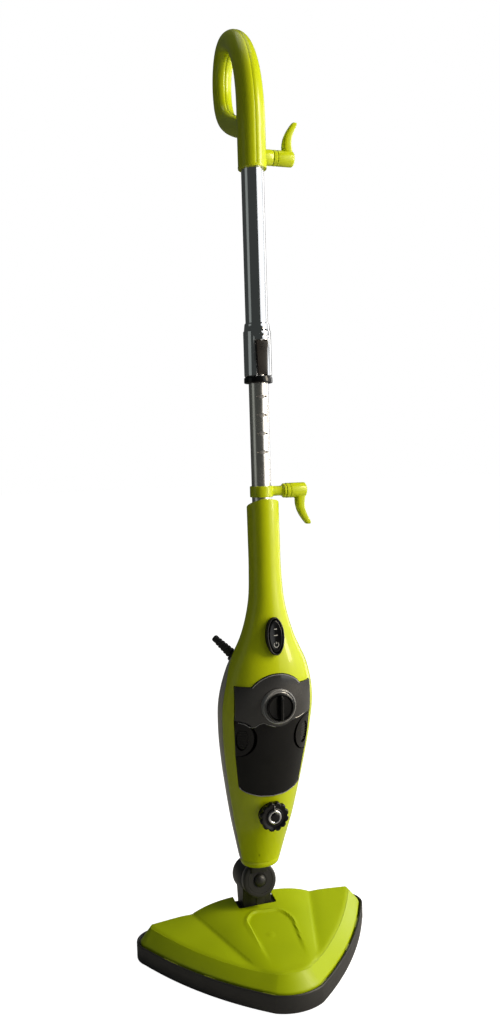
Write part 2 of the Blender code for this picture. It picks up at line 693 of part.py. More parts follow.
# ================================================================ knuckle
def swivel_leg():
    """Rear part of the barrel with the leg that reaches down to the pitch pin."""
    leg = rod("swivel_leg", BARREL_RADIUS, LEG_BACK, LEG_FRONT, BLACK, BARREL_CENTRE, BARREL_AXIS,
              SEGMENTS + 8)
    half = LEG_HALF_WIDTH
    top = BARREL_CENTRE_Z - BARREL_RADIUS * 0.35
    rings = [[(-half, PITCH_Y - LEG_EYE_RADIUS, PITCH_Z), (half, PITCH_Y - LEG_EYE_RADIUS, PITCH_Z),
              (half, PITCH_Y + LEG_EYE_RADIUS, PITCH_Z), (-half, PITCH_Y + LEG_EYE_RADIUS, PITCH_Z)],
             [(-half, PITCH_Y - 0.0120, top), (half, PITCH_Y - 0.0120, top),
              (half, PITCH_Y + 0.0180, top), (-half, PITCH_Y + 0.0180, top)]]
    add(leg, loft("leg_web", rings))
    add(leg, rod("leg_eye", LEG_EYE_RADIUS, -half, half, centre=(0, PITCH_Y, PITCH_Z), axis=SIDE))
    cut(leg, rod("leg_pin_hole", PITCH_PIN_RADIUS + RUN_GAP, -0.03, 0.03, centre=(0, PITCH_Y, PITCH_Z),
                 axis=SIDE))
    cut(leg, rod("roll_bore", ROLL_PIN_RADIUS + RUN_GAP, LEG_BACK - 0.01, LEG_FRONT + 0.01,
                 centre=BARREL_CENTRE, axis=BARREL_AXIS))
    cut(leg, rod("seal_seat", ROLL_PIN_RADIUS + GAP + SEAL_WIDTH + GAP, LEG_FRONT - SEAL_HEIGHT - GAP,
                 LEG_FRONT + 0.01, centre=BARREL_CENTRE, axis=BARREL_AXIS))
    return leg


def swivel_seal():
    inner = ROLL_PIN_RADIUS + GAP
    return pipe("swivel_seal", inner + SEAL_WIDTH, inner, LEG_FRONT - SEAL_HEIGHT, LEG_FRONT, RUBBER,
                BARREL_CENTRE, BARREL_AXIS)


def barrel_end_cap():
    back = -BARREL_LENGTH / 2
    front = back + END_CAP_THICKNESS
    radius = BARREL_RADIUS
    profile = [(0, back), (radius - 0.0022, back), (radius - 0.0006, back + 0.0008), (radius, front),
               (0, front)]
    return turned("barrel_end_cap", profile, BLACK, BARREL_CENTRE, BARREL_AXIS, SEGMENTS + 8)


def swivel_disc():
    """Front disc of the barrel, with the neck that carries the casing and a stop lug below."""
    disc = turned("swivel_disc", [(0, DISC_BACK), (BARREL_RADIUS, DISC_BACK), (BARREL_RADIUS, DISC_FRONT
                                                                               - 0.0010),
                                  (BARREL_RADIUS - 0.0010, DISC_FRONT), (0, DISC_FRONT)],
                  BLACK, BARREL_CENTRE, BARREL_AXIS, SEGMENTS + 8)
    middle = BARREL_CENTRE + BARREL_AXIS * (DISC_BACK + DISC_FRONT) / 2
    back = middle.y + NECK_HALF_DEPTH - 0.0004
    front = middle.y - NECK_HALF_DEPTH
    add(disc, box("disc_neck", (-NECK_HALF_WIDTH, front, middle.z + BARREL_RADIUS * 0.5),
                  (NECK_HALF_WIDTH, back, CASING_BOTTOM + 0.018)))
    add(disc, box("disc_lug", (-LUG_HALF_WIDTH, middle.y - DISC_THICKNESS * 0.45, middle.z - BARREL_RADIUS
                               - LUG_DROP),
                  (LUG_HALF_WIDTH, middle.y - GAP, middle.z - BARREL_RADIUS * 0.6)))
    cut(disc, rod("disc_bore", ROLL_PIN_RADIUS + GAP, DISC_BACK - 0.01, DISC_FRONT + 0.01,
                  centre=BARREL_CENTRE, axis=BARREL_AXIS))
    return disc


def roll_pin():
    """Hollow pin with a domed head; the steam passes through its bore."""
    head = DISC_FRONT + GAP
    back = LEG_BACK + 0.001
    profile = [(STEAM_BORE_RADIUS, back), (ROLL_PIN_RADIUS, back), (ROLL_PIN_RADIUS, head),
               (ROLL_PIN_HEAD_RADIUS, head)]
    for i in range(1, 6):
        angle = math.radians(15 + 15 * i)
        profile.append((ROLL_PIN_HEAD_RADIUS * math.cos(angle) if i < 5 else 0.0,
                        head + ROLL_PIN_HEAD_HEIGHT * math.sin(angle)))
    profile += [(0, head - 0.004), (STEAM_BORE_RADIUS, head - 0.004)]
    return turned("roll_pin", profile, BLACK, BARREL_CENTRE, BARREL_AXIS)


# ================================================================ casing
def casing_at(z):
    """Half width, half depth and centre y of the casing at a height, smoothed through its stations."""
    stations = CASING
    i = 0
    while i < len(stations) - 2 and z > stations[i + 1][0]:
        i += 1
    low, high = stations[i], stations[i + 1]
    before = stations[max(i - 1, 0)]
    beyond = stations[min(i + 2, len(stations) - 1)]
    span = high[0] - low[0]
    t = min(1.0, max(0.0, (z - low[0]) / span))
    values = []
    for k in (1, 2, 3):
        slope_low = (high[k] - before[k]) / (high[0] - before[0]) * span
        slope_high = (beyond[k] - low[k]) / (beyond[0] - low[0]) * span
        values.append((2 * t ** 3 - 3 * t ** 2 + 1) * low[k] + (t ** 3 - 2 * t ** 2 + t) * slope_low
                      + (3 * t ** 2 - 2 * t ** 3) * high[k] + (t ** 3 - t ** 2) * slope_high)
    return values


def casing_ring(z, offset, count=28):
    a, b, y = casing_at(z)
    angles = [math.tau * i / count for i in range(count)]
    return [((a + offset) * math.sin(t), y - (b + offset) * math.cos(t), z) for t in angles]


def casing_heights(low, high):
    inner = [0.158, 0.182, 0.208, 0.235, 0.262, 0.290, 0.318, 0.346, 0.372, 0.396, 0.418, 0.440, 0.462,
             0.490,
             0.530]
    return [low] + [z for z in inner if low + 0.004 < z < high - 0.004] + [high]


def casing_blank(node, offset, low=CASING_BOTTOM + 0.030, high=0.500):
    """Solid of the casing's outer form, moved out by the offset, between two heights."""
    return loft(node, [casing_ring(z, offset) for z in casing_heights(low, high)])


def shell_ring(z, front, bore):
    """C-shaped section of one shell: the outer arc, then the inner arc back."""
    a, b, y = casing_at(z)
    seam = y - PARTING * b + (-PARTING_GAP if front else PARTING_GAP) / 2
    count = 15
    ring = []
    inner = (bore, bore, 0.0) if bore else (a - SHELL_WALL, b - SHELL_WALL, y)
    for half_x, half_y, centre in ((a, b, y), inner):
        limit = math.acos((centre - seam) / half_y)
        start, end = (-limit, limit) if front else (limit, math.tau - limit)
        angles = [start + (end - start) * i / (count - 1) for i in range(count)]
        arc = [(half_x * math.sin(t), centre - half_y * math.cos(t), z) for t in angles]
        ring += arc if not ring else arc[::-1]
    return ring


def casing_shell(node, front, look):
    socket = NECK_TOP - NECK_SOCKET
    low = COLLAR_TOP + GAP
    rings = [shell_ring(z, front, 0.0) for z in casing_heights(low, socket - NECK_TAPER)]
    rings += [shell_ring(z, front, LOWER_BORE) for z in (socket, NECK_TOP + 0.012)]
    shell = loft(node, rings, look)
    slope = math.tan(NECK_SLOPE)
    reach = 0.05
    low_ring = [(x, y, NECK_TOP - slope * y) for x, y in
                ((-reach, -reach), (reach, -reach), (reach, reach), (-reach, reach))]
    high_ring = [(x, y, NECK_TOP + 0.06) for x, y, _ in low_ring]
    cut(shell, loft(f"{node}_neck_cut", [low_ring, high_ring]))
    return shell


def bottom_collar():
    """Closing collar under the shells, with the opening for the knuckle's neck."""
    low = CASING_BOTTOM
    rings = [casing_ring(low, -0.0035), casing_ring(low + 0.0008, -0.0012), casing_ring(low + 0.0030, 0.0),
             casing_ring(COLLAR_TOP, 0.0)]
    collar = loft("bottom_collar", rings, LIME)
    cut(collar, loft("collar_room", [casing_ring(low + 0.0035, -SHELL_WALL), casing_ring(COLLAR_TOP + 0.01,
                                                                                         -SHELL_WALL)]))
    middle = BARREL_CENTRE + BARREL_AXIS * (DISC_BACK + DISC_FRONT) / 2
    gap = GAP
    cut(collar, box("collar_neck_hole", (-NECK_HALF_WIDTH - gap, middle.y - NECK_HALF_DEPTH - gap,
                                         low - 0.01),
                    (NECK_HALF_WIDTH + gap, middle.y + NECK_HALF_DEPTH + gap, low + 0.02)))
    return collar


def tank_half(grow):
    """Right half of the tank's front outline as (x, z), from the crown down to the bottom."""
    crown = TANK_CROWN_RADIUS + grow
    ear = TANK_EAR_Z + grow
    meet = math.acos((ear - TANK_CAP_Z) / crown)
    points = [(crown * math.sin(meet * i / 7), TANK_CAP_Z + crown * math.cos(meet * i / 7))
              for i in range(8)]
    side = TANK_HALF_WIDTH + grow
    foot = TANK_FOOT_HALF_WIDTH + grow
    bottom = TANK_BOTTOM - grow
    points += [(side - 0.0036, ear), (side - 0.0010, ear - 0.0012), (side, ear - 0.0040),
               (side, TANK_WAIST_Z)]
    points += [(side - 0.0035, LATCH_Z - 0.022), (foot, bottom + 0.0130), (foot - 0.0016, bottom + 0.0085)]
    points += [(foot - 0.0060, bottom + 0.0055), (foot * 0.50, bottom + 0.0015)]
    return points + [(0.0, bottom)]


def tank_back_y(z):
    share = (z - TANK_BOTTOM) / (TANK_CAP_Z + TANK_CROWN_RADIUS - TANK_BOTTOM)
    return TANK_BACK_BOTTOM_Y + (TANK_BACK_TOP_Y - TANK_BACK_BOTTOM_Y) * share


def tank_prism(node, grow, deeper, front=-0.090, look=None):
    """The tank's outline run back along Y to its sloping back, grown by a clearance."""
    right = tank_half(grow)
    left = [(-x, z) for x, z in reversed(right[1:-1])]
    outline = right + left
    return loft(node, [[(x, front, z) for x, z in outline],
                       [(x, tank_back_y(z) + deeper, z) for x, z in outline]], look)


def front_shell():
    shell = casing_shell("front_shell", True, LIME)
    cut(shell, tank_prism("tank_window", TANK_FIT, TANK_FIT))
    cut(shell, switch_oval("switch_hole", SWITCH_HALF_WIDTH - 0.001 + GAP, SWITCH_HALF_HEIGHT - 0.001 + GAP,
                           -0.02, 0.02))
    cut(shell, rod("dial_hole", DIAL_BEZEL_RADIUS + GAP, -0.01, 0.03, centre=(0, 0.004, DIAL_Z),
                   axis=FORWARD))
    return shell


def rear_shell():
    shell = casing_shell("rear_shell", False, WARM_GREY)
    cut(shell, rod("gland_hole", GLAND_RADIUS + GAP, -0.02, 0.03, centre=GLAND_CENTRE, axis=GLAND_AXIS))
    for number, (x, z) in enumerate(SHELL_SCREWS, 1):
        cut(shell, rod(f"shell_screw_hole_{number}", SCREW_HEAD_RADIUS + GAP, -0.02, 0.02,
                       centre=shell_screw_seat(x, z), axis=-FORWARD, segments=12))
    return shell


def shell_screw_seat(x, z):
    """Centre of a screw's head, just under the rear shell's surface."""
    a, b, y = casing_at(z)
    return Vector((x, y + b * math.sqrt(1 - (x / a) ** 2) - 0.0008, z))


def shell_screws():
    return [screw(f"shell_screw_{number}", shell_screw_seat(x, z), -FORWARD)
            for number, (x, z) in enumerate(SHELL_SCREWS, 1)]


# ================================================================ tank
def latch_prism(node, side, grow, travel, look=None):
    """Half-oval prism along Y on one side of the tank; travel moves its rounded end inwards."""
    count = 12
    reach = LATCH_REACH + grow - LATCH_SHOULDER
    tall = LATCH_HALF_HEIGHT + grow
    centre_x = TANK_HALF_WIDTH - LATCH_SHOULDER - travel
    edge = TANK_HALF_WIDTH - 0.0006 + grow * 20
    outline = [(edge, LATCH_Z + tall)]
    for i in range(count + 1):
        angle = math.pi / 2 + math.pi * i / count
        outline.append((centre_x + reach * math.cos(angle), LATCH_Z + tall * math.sin(angle)))
    outline.append((edge, LATCH_Z - tall))
    return loft(node, [[(side * x, y, z) for x, z in outline] for y in (-0.080, 0.012)], look)


def tank_room():
    """The water space: the tank's form less its walls and the latch pockets."""
    room = tank_prism("tank_room", -TANK_WALL, -TANK_WALL)
    keep_inside(room, casing_blank("tank_room_skin", TANK_PROUD - TANK_WALL))
    for side, name in ((-1, "left"), (1, "right")):
        x0, x1 = sorted((side * (TANK_HALF_WIDTH - LATCH_REACH - LATCH_TRAVEL - TANK_WALL - 0.001),
                         side * 0.08))
        cut(room, box(f"latch_wall_{name}", (x0, -0.09, LATCH_Z - LATCH_HALF_HEIGHT - 0.003),
                      (x1, 0.05, LATCH_Z + LATCH_HALF_HEIGHT + 0.003)))
    return room


def water_tank():
    tank = tank_prism("water_tank", 0.0, 0.0, look=SMOKE)
    keep_inside(tank, casing_blank("tank_skin", TANK_PROUD))
    cut(tank, tank_room())
    for side, name in ((-1, "left"), (1, "right")):
        pocket = latch_prism(f"latch_pocket_{name}", side, RUN_GAP, LATCH_TRAVEL)
        floor = TANK_PROUD - LATCH_THICKNESS - RUN_GAP - LATCH_TRAVEL
        cut(pocket, casing_blank(f"latch_pocket_floor_{name}", floor))
        cut(tank, pocket)
    cut(tank, rod("filler_hole", FILLER_RADIUS + GAP, 0.0, 0.06, centre=(0, FILLER_BACK_Y, TANK_CAP_Z),
                  axis=FORWARD))
    cut(tank, rod("outlet_hole", OUTLET_RADIUS + GAP, -0.02, 0.012, centre=(0, tank_back_y(OUTLET_Z),
                                                                            OUTLET_Z),
                  axis=FORWARD, segments=SMALL_SEGMENTS))
    return tank


def latch(side, name):
    """Curved push pad in the tank's side."""
    pad = latch_prism(f"latch_{name}", side, 0.0, 0.0, BLACK)
    keep_inside(pad, casing_blank(f"latch_skin_{name}", TANK_PROUD - 0.0004))
    keep_inside(pad, tank_prism(f"latch_side_{name}", -RUN_GAP, 0.0))
    cut(pad, casing_blank(f"latch_back_{name}", TANK_PROUD - LATCH_THICKNESS))
    return pad


def filler_collar():
    front, back = -FILLER_FRONT_Y, -FILLER_BACK_Y
    profile = [(FILLER_BORE_RADIUS, back), (FILLER_RADIUS, back), (FILLER_RADIUS, front - 0.0012),
               (FILLER_RADIUS - 0.0012, front), (FILLER_BORE_RADIUS, front)]
    return turned("filler_collar", profile, SMOKE, (0, 0, TANK_CAP_Z), FORWARD, SEGMENTS + 4)


def tank_cap():
    """Turn cap with a grip fin and a stem down the filler."""
    face = -FILLER_FRONT_Y + GAP
    stem = FILLER_BORE_RADIUS - RUN_GAP - CAP_SEAL_WIDTH
    profile = [(0, face - CAP_STEM_LENGTH), (stem, face - CAP_STEM_LENGTH), (stem, face), (CAP_RADIUS, face),
               (CAP_RADIUS, face + CAP_HEIGHT - 0.001), (CAP_RADIUS - 0.001, face + CAP_HEIGHT),
               (0, face + CAP_HEIGHT)]
    cap = turned("tank_cap", profile, BLACK, (0, 0, TANK_CAP_Z), FORWARD, SEGMENTS + 4)
    half = CAP_RADIUS - 0.0020
    top = -(face + CAP_HEIGHT + CAP_FIN_HEIGHT)
    root = -(face + CAP_HEIGHT * 0.5)
    rings = []
    for y, w, h in ((root, CAP_FIN_HALF_WIDTH, half), (top + 0.001, CAP_FIN_HALF_WIDTH * 0.7, half * 0.86),
                    (top, CAP_FIN_HALF_WIDTH * 0.4, half * 0.80)):
        rings.append([(-w, y, TANK_CAP_Z - h), (w, y, TANK_CAP_Z - h), (w, y, TANK_CAP_Z + h),
                      (-w, y, TANK_CAP_Z + h)])
    add(cap, loft("cap_fin", rings))
    return cap


def cap_seal():
    face = -FILLER_FRONT_Y
    outer = FILLER_BORE_RADIUS - GAP
    inner = FILLER_BORE_RADIUS - RUN_GAP - CAP_SEAL_WIDTH + 0.0002
    return pipe("cap_seal", outer, inner, face - 0.0060, face - 0.0036, RUBBER, (0, 0, TANK_CAP_Z), FORWARD)


def tank_outlet():
    """Spigot in the tank's back wall, which plugs into the inlet in the bay."""
    back = tank_back_y(OUTLET_Z)
    flange = OUTLET_RADIUS + 0.0012
    inside = -TANK_WALL - 0.0012
    profile = [(0.0018, inside - 0.002), (flange, inside - 0.002), (flange, inside), (OUTLET_RADIUS, inside),
               (OUTLET_RADIUS, OUTLET_LENGTH), (0.0018, OUTLET_LENGTH)]
    return turned("tank_outlet", profile, RUBBER, (0, back, OUTLET_Z), -FORWARD, SMALL_SEGMENTS)


def tank_bay():
    """Open-fronted tray in the casing that the tank sits in."""
    bay = tank_prism("tank_bay", TANK_FIT + BAY_WALL, TANK_FIT + BAY_WALL, look=BLACK)
    keep_inside(bay, casing_blank("bay_skin", -SHELL_WALL - GAP))
    cut(bay, tank_prism("bay_room", TANK_FIT, TANK_FIT))
    cut(bay, rod("bay_outlet_hole", OUTLET_RADIUS + RUN_GAP, -0.03, 0.03, centre=(0, tank_back_y(OUTLET_Z),
                                                                                  OUTLET_Z),
                 axis=FORWARD, segments=SMALL_SEGMENTS))
    return bay


def water_inlet():
    """Socket behind the bay that seals on the tank's outlet."""
    start = TANK_FIT + BAY_WALL + GAP + 0.0012
    inner = OUTLET_RADIUS + RUN_GAP
    outer = inner + INLET_WALL
    end = OUTLET_LENGTH + 0.003
    profile = [(inner, start), (outer, start), (outer, end), (0, end), (0, end - 0.002),
               (inner, end - 0.002)]
    return turned("water_inlet", profile, BLACK, (0, tank_back_y(OUTLET_Z), OUTLET_Z), -FORWARD,
                  SMALL_SEGMENTS)


# ================================================================ inside the casing
def pump():
    profile = [(0, PUMP_BOTTOM), (PUMP_RADIUS, PUMP_BOTTOM), (PUMP_RADIUS, PUMP_TOP - 0.004),
               (PUMP_RADIUS * 0.6, PUMP_TOP - 0.004), (PUMP_RADIUS * 0.6, PUMP_TOP), (0, PUMP_TOP)]
    return turned("pump", profile, STEEL, (0, PUMP_Y, 0), UP, SMALL_SEGMENTS)


def boiler():
    profile = [(0, BOILER_BOTTOM), (BOILER_RADIUS, BOILER_BOTTOM), (BOILER_RADIUS, BOILER_TOP),
               (0, BOILER_TOP)]
    return turned("boiler", profile, ALUMINIUM, (0, BOILER_Y, 0), UP, SEGMENTS)


def thermostat():
    back = BOILER_Y + BOILER_RADIUS + GAP
    return rod("thermostat", THERMOSTAT_RADIUS, back, back + THERMOSTAT_THICKNESS, STEEL,
               (0, 0, (BOILER_BOTTOM + BOILER_TOP) / 2), -FORWARD, SMALL_SEGMENTS)


def steam_valve():
    """Valve body in front of the boiler, turned by the dial's shaft."""
    back = BOILER_Y - BOILER_RADIUS - GAP
    front = back - 0.0160
    profile = [(DIAL_SHAFT_RADIUS + RUN_GAP, -front - 0.010), (DIAL_SHAFT_RADIUS + RUN_GAP, -front),
               (VALVE_RADIUS, -front), (VALVE_RADIUS, -back), (0, -back), (0, -front - 0.010)]
    return turned("steam_valve", profile, BRASS, (0, 0, DIAL_Z), FORWARD, SMALL_SEGMENTS)


def feed_hose():
    """From the water inlet up to the pump."""
    y = tank_back_y(OUTLET_Z) + OUTLET_LENGTH + 0.003 + GAP
    return hose("feed_hose", [(0, y, OUTLET_Z), (0, y + 0.002, OUTLET_Z), (0, PUMP_Y, OUTLET_Z + 0.010),
                              (0, PUMP_Y, PUMP_BOTTOM - 0.005), (0, PUMP_Y, PUMP_BOTTOM - GAP)],
                HOSE_RADIUS, RUBBER)


def pressure_hose():
    """From the pump's top, down beside it to the boiler."""
    x = PUMP_RADIUS + HOSE_RADIUS + 0.0015
    return hose("pressure_hose", [(0, PUMP_Y, PUMP_TOP + GAP), (0, PUMP_Y, PUMP_TOP + 0.004),
                                  (0.005, PUMP_Y, PUMP_TOP + 0.011),
                                  (x * 0.7, PUMP_Y, PUMP_TOP + 0.011), (x, PUMP_Y, PUMP_TOP - 0.004),
                                  (x, PUMP_Y, PUMP_BOTTOM), (x * 0.8, PUMP_Y + 0.002, PUMP_BOTTOM - 0.030),
                                  (0.006, BOILER_Y + 0.001, BOILER_TOP + 0.010), (0.006, BOILER_Y + 0.001,
                                                                                  BOILER_TOP + 0.005),
                                  (0.006, BOILER_Y + 0.001, BOILER_TOP + GAP)],
                HOSE_RADIUS, RUBBER)


def steam_pipe():
    """From the boiler down to the neck of the swivel."""
    low = CASING_BOTTOM + 0.018 + GAP
    y = (BARREL_CENTRE + BARREL_AXIS * (DISC_BACK + DISC_FRONT) / 2).y - 0.001
    return hose("steam_pipe", [(0, y, low), (0, y, low + 0.003), (0, (y + BOILER_Y) / 2,
                                                                  (low + BOILER_BOTTOM) / 2),
                               (0, BOILER_Y, BOILER_BOTTOM - 0.005), (0, BOILER_Y, BOILER_BOTTOM - GAP)],
                PIPE_RADIUS, BRASS)


# ================================================================ controls
def switch_oval(node, half_width, half_height, start, end, look=None, count=28):
    """Oval prism along the switch's tilted axis, between two depths from the casing's face."""
    place = frame_at((0, SWITCH_FACE_Y, SWITCH_Z), SWITCH_AXIS)
    rings = []
    for depth in (start, end):
        rings.append([place @ Vector((half_width * math.cos(math.tau * i / count),
                                      half_height * math.sin(math.tau * i / count), depth))
                      for i in range(count)])
    return loft(node, rings, look)


def switch_bezel():
    bezel = switch_oval("switch_bezel", SWITCH_HALF_WIDTH - 0.001, SWITCH_HALF_HEIGHT - 0.001, -0.0085,
                        SWITCH_PROUD - 0.001, BLACK)
    add(bezel, switch_oval("bezel_flange", SWITCH_HALF_WIDTH - 0.0004, SWITCH_HALF_HEIGHT - 0.0004, 0.0045,
                           SWITCH_PROUD))
    cut(bezel, switch_oval("bezel_room", SWITCH_HALF_WIDTH - SWITCH_RIM, SWITCH_HALF_HEIGHT - SWITCH_RIM,
                           -0.0065, 0.02))
    return bezel


def power_switch():
    """Rocker that tips about X; its face is dished, and its ends leave room for the tilt."""
    half_width = SWITCH_HALF_WIDTH - SWITCH_RIM - RUN_GAP
    half_height = SWITCH_HALF_HEIGHT - SWITCH_RIM - SWITCH_END_ROOM
    place = frame_at((0, SWITCH_FACE_Y, SWITCH_Z), SWITCH_AXIS)
    count = 24
    rings = []
    for depth, share in ((-0.0035, 0.80), (0.0, 1.0), (0.0052, 1.0), (0.0064, 0.94), (0.0064, 0.60),
                         (0.0058, 0.25)):
        rings.append([place @ Vector((half_width * share * math.cos(math.tau * i / count),
                                      half_height * share * math.sin(math.tau * i / count),
                                      depth)) for i in range(count)])
    return loft("power_switch", rings, BLACK)


def dial_bezel():
    """Round boss in the front shell that the dial turns on."""
    front = -DIAL_BACK_Y - RUN_GAP
    back = -0.0040
    return pipe("dial_bezel", DIAL_BEZEL_RADIUS, DIAL_SHAFT_RADIUS + RUN_GAP, back, front, BLACK,
                (0, 0, DIAL_Z), FORWARD)


def steam_dial():
    """Fluted knob with a shaft to the valve."""
    steps = DIAL_FLUTES * 4
    rings = []
    recess = DIAL_INSERT_RADIUS + GAP
    for y, share in ((DIAL_BACK_Y, 0.97), (DIAL_BACK_Y - 0.0010, 1.0), (DIAL_FRONT_Y + 0.0020, 1.0),
                     (DIAL_FRONT_Y, 0.88)):
        ring = []
        for i in range(steps):
            angle = math.tau * i / steps
            radius = DIAL_RADIUS * share - DIAL_FLUTE_DEPTH * (0.5
                                                               + 0.5 * math.cos(DIAL_FLUTES * angle)) ** 2
            ring.append((radius * math.sin(angle), y, DIAL_Z + radius * math.cos(angle)))
        rings.append(ring)
    dial = loft("steam_dial", rings, BLACK)
    end = BOILER_Y - BOILER_RADIUS - GAP - 0.0080
    add(dial, rod("dial_shaft", DIAL_SHAFT_RADIUS, -end, -DIAL_FRONT_Y - 0.003, centre=(0, 0, DIAL_Z),
                  axis=FORWARD,
                  segments=SMALL_SEGMENTS))
    cut(dial, rod("dial_recess", recess, -DIAL_FRONT_Y - 0.0015, -DIAL_FRONT_Y + 0.01,
                  centre=(0, 0, DIAL_Z), axis=FORWARD))
    return dial


def dial_insert():
    back = -DIAL_FRONT_Y - 0.0015 + GAP
    profile = [(0, back), (DIAL_INSERT_RADIUS, back), (DIAL_INSERT_RADIUS, back + 0.0016),
               (DIAL_INSERT_RADIUS - 0.0010, back + 0.0026), (DIAL_INSERT_RADIUS * 0.55, back + 0.0026),
               (DIAL_INSERT_RADIUS * 0.45, back + 0.0014), (0, back + 0.0014)]
    return turned("dial_insert", profile, CHROME, (0, 0, DIAL_Z), FORWARD)


def cord_gland():
    bore = BOOT_BASE_RADIUS + GAP
    profile = [(bore, -0.0070), (GLAND_RADIUS, -0.0070), (GLAND_RADIUS, 0.0050), (GLAND_RADIUS - 0.0012,
                                                                                  0.0064),
               (bore, 0.0064)]
    return turned("cord_gland", profile, BLACK, GLAND_CENTRE, GLAND_AXIS)


def cord_boot():
    """Tapered strain relief with ribs and a rounded tip."""
    profile = [(0, -0.0060), (BOOT_BASE_RADIUS, -0.0060), (BOOT_BASE_RADIUS, 0.0070)]
    ribs = 4
    start, end = 0.0080, BOOT_LENGTH - 0.0060
    for i in range(ribs):
        h = start + (end - start) * i / ribs
        step = (end - start) / ribs
        r = BOOT_BASE_RADIUS + (BOOT_TIP_RADIUS - BOOT_BASE_RADIUS) * i / ribs
        profile += [(r, h), (r, h + step * 0.62), (r - 0.0007, h + step * 0.68),
                    (r - 0.0007, h + step * 0.94)]
    profile += [(BOOT_TIP_RADIUS, end), (BOOT_TIP_RADIUS, BOOT_LENGTH - 0.0024),
                (BOOT_TIP_RADIUS * 0.75, BOOT_LENGTH - 0.0007), (0, BOOT_LENGTH)]
    return turned("cord_boot", profile, RUBBER, GLAND_CENTRE, GLAND_AXIS, SMALL_SEGMENTS)


# ================================================================ pole
def lower_tube():
    tube = pipe("lower_tube", LOWER_TUBE_RADIUS, LOWER_TUBE_RADIUS - TUBE_WALL, LOWER_TUBE_START,
                LOWER_TUBE_END, CHROME)
    for number in range(LOCK_HOLE_COUNT):
        z = LOCK_TOOTH_Z - LOCK_HOLE_PITCH * number
        low = (-LOCK_HOLE_HALF_WIDTH, -LOWER_TUBE_RADIUS - 0.004, z - LOCK_HOLE_HALF_HEIGHT)
        high = (LOCK_HOLE_HALF_WIDTH, -LOWER_TUBE_RADIUS * 0.4, z + LOCK_HOLE_HALF_HEIGHT)
        cut(tube, box(f"lock_hole_{number + 1}", low, high))
    return tube


def guide_bush():
    """Plastic bush on top of the lower tube that runs in the upper one."""
    low = LOWER_TUBE_END + GAP
    return pipe("guide_bush", LOWER_TUBE_RADIUS + RUN_GAP - GAP, LOWER_TUBE_RADIUS - TUBE_WALL - 0.0010, low,
                low + BUSH_HEIGHT, BLACK)


def upper_tube():
    return pipe("upper_tube", UPPER_TUBE_RADIUS, UPPER_TUBE_RADIUS - TUBE_WALL, UPPER_TUBE_START,
                UPPER_TUBE_END, CHROME)


def lock_ring():
    radius = HOUSING_RADIUS + RING_PROUD
    top = RING_BOTTOM + RING_HEIGHT
    profile = [(RUNNING_BORE, RING_BOTTOM), (radius - 0.0012, RING_BOTTOM), (radius, RING_BOTTOM + 0.0012),
               (radius, top - 0.0012), (radius - 0.0012, top), (RUNNING_BORE, top)]
    return turned("lock_ring", profile, BLACK)


def lock_housing():
    """Plated housing on the upper tube's lower end, with a cowl over the lever's pocket."""
    low, top = HOUSING_BOTTOM, HOUSING_TOP
    profile = [(RUNNING_BORE, low), (HOUSING_RADIUS, low), (HOUSING_RADIUS, top), (UPPER_BORE + 0.0010,
                                                                                   CONE_TOP),
               (UPPER_BORE, CONE_TOP), (UPPER_BORE, UPPER_TUBE_START - GAP), (RUNNING_BORE, UPPER_TUBE_START
                                                                              - GAP)]
    housing = turned("lock_housing", profile, CHROME)
    cowl = []
    for i in range(7):
        angle = math.radians(-90 + 30 * i)
        size = max(0.02, math.cos(angle))
        height = LEVER_TOP + 0.0030 + 0.0075 * math.sin(angle)
        cowl.append([(0.0100 * size * math.cos(t), -HOUSING_RADIUS + 0.0045 - 0.0060 * size * math.sin(t),
                      height)
                     for t in [math.pi * k / 8 for k in range(9)]])
    add(housing, loft("cowl", cowl))
    side = LEVER_HALF_WIDTH + RUN_GAP
    cut(housing, box("lever_pocket", (-side, -HOUSING_RADIUS - 0.010, HOUSING_BOTTOM - 0.002),
                     (side, -RUNNING_BORE + 0.004, LEVER_TOP + 0.0012)))
    cut(housing, rod("lever_pivot_hole", LEVER_PIVOT_RADIUS + GAP, -0.0110, 0.0110,
                     centre=(0, LEVER_PIVOT_Y, LEVER_PIVOT_Z), axis=SIDE, segments=12))
    return housing


def lock_lever():
    """Rocking lever whose tooth faces the lower tube's holes; pressing its top lifts the tooth away."""
    thick = LEVER_THICKNESS
    low = LEVER_TOP - LEVER_LENGTH
    rings = []
    for z, y, w in ((low, LEVER_Y + 0.0008, 0.78), (low + 0.004, LEVER_Y, 0.80), (LEVER_PIVOT_Z - 0.006,
                                                                                  LEVER_Y - 0.0002, 0.88),
                    (LEVER_TOP - 0.004, LEVER_Y - 0.0010, 1.0), (LEVER_TOP, LEVER_Y - 0.0002, 0.92)):
        half = LEVER_HALF_WIDTH * w
        rings.append([(-half, y + thick, z), (-half, y + 0.0007, z), (-half + 0.0012, y, z), (half - 0.0012,
                                                                                              y, z),
                      (half, y + 0.0007, z), (half, y + thick, z)])
    lever = loft("lock_lever", rings, BLACK)
    add(lever, box("lock_tooth", (-0.0040, LEVER_Y + thick * 0.5, LOCK_TOOTH_Z - 0.0013),
                   (0.0040, -LOWER_TUBE_RADIUS - GAP, LOCK_TOOTH_Z + 0.0013)))
    add(lever, rod("lever_eye", LEVER_PIVOT_RADIUS + GAP + LEVER_EYE_WALL, -LEVER_HALF_WIDTH * 0.9,
                   LEVER_HALF_WIDTH * 0.9,
                   centre=(0, LEVER_PIVOT_Y, LEVER_PIVOT_Z), axis=SIDE, segments=SMALL_SEGMENTS))
    cut(lever, rod("lever_bore", LEVER_PIVOT_RADIUS + GAP, -0.01, 0.01, centre=(0, LEVER_PIVOT_Y,
                                                                                LEVER_PIVOT_Z),
                   axis=SIDE, segments=12))
    return lever


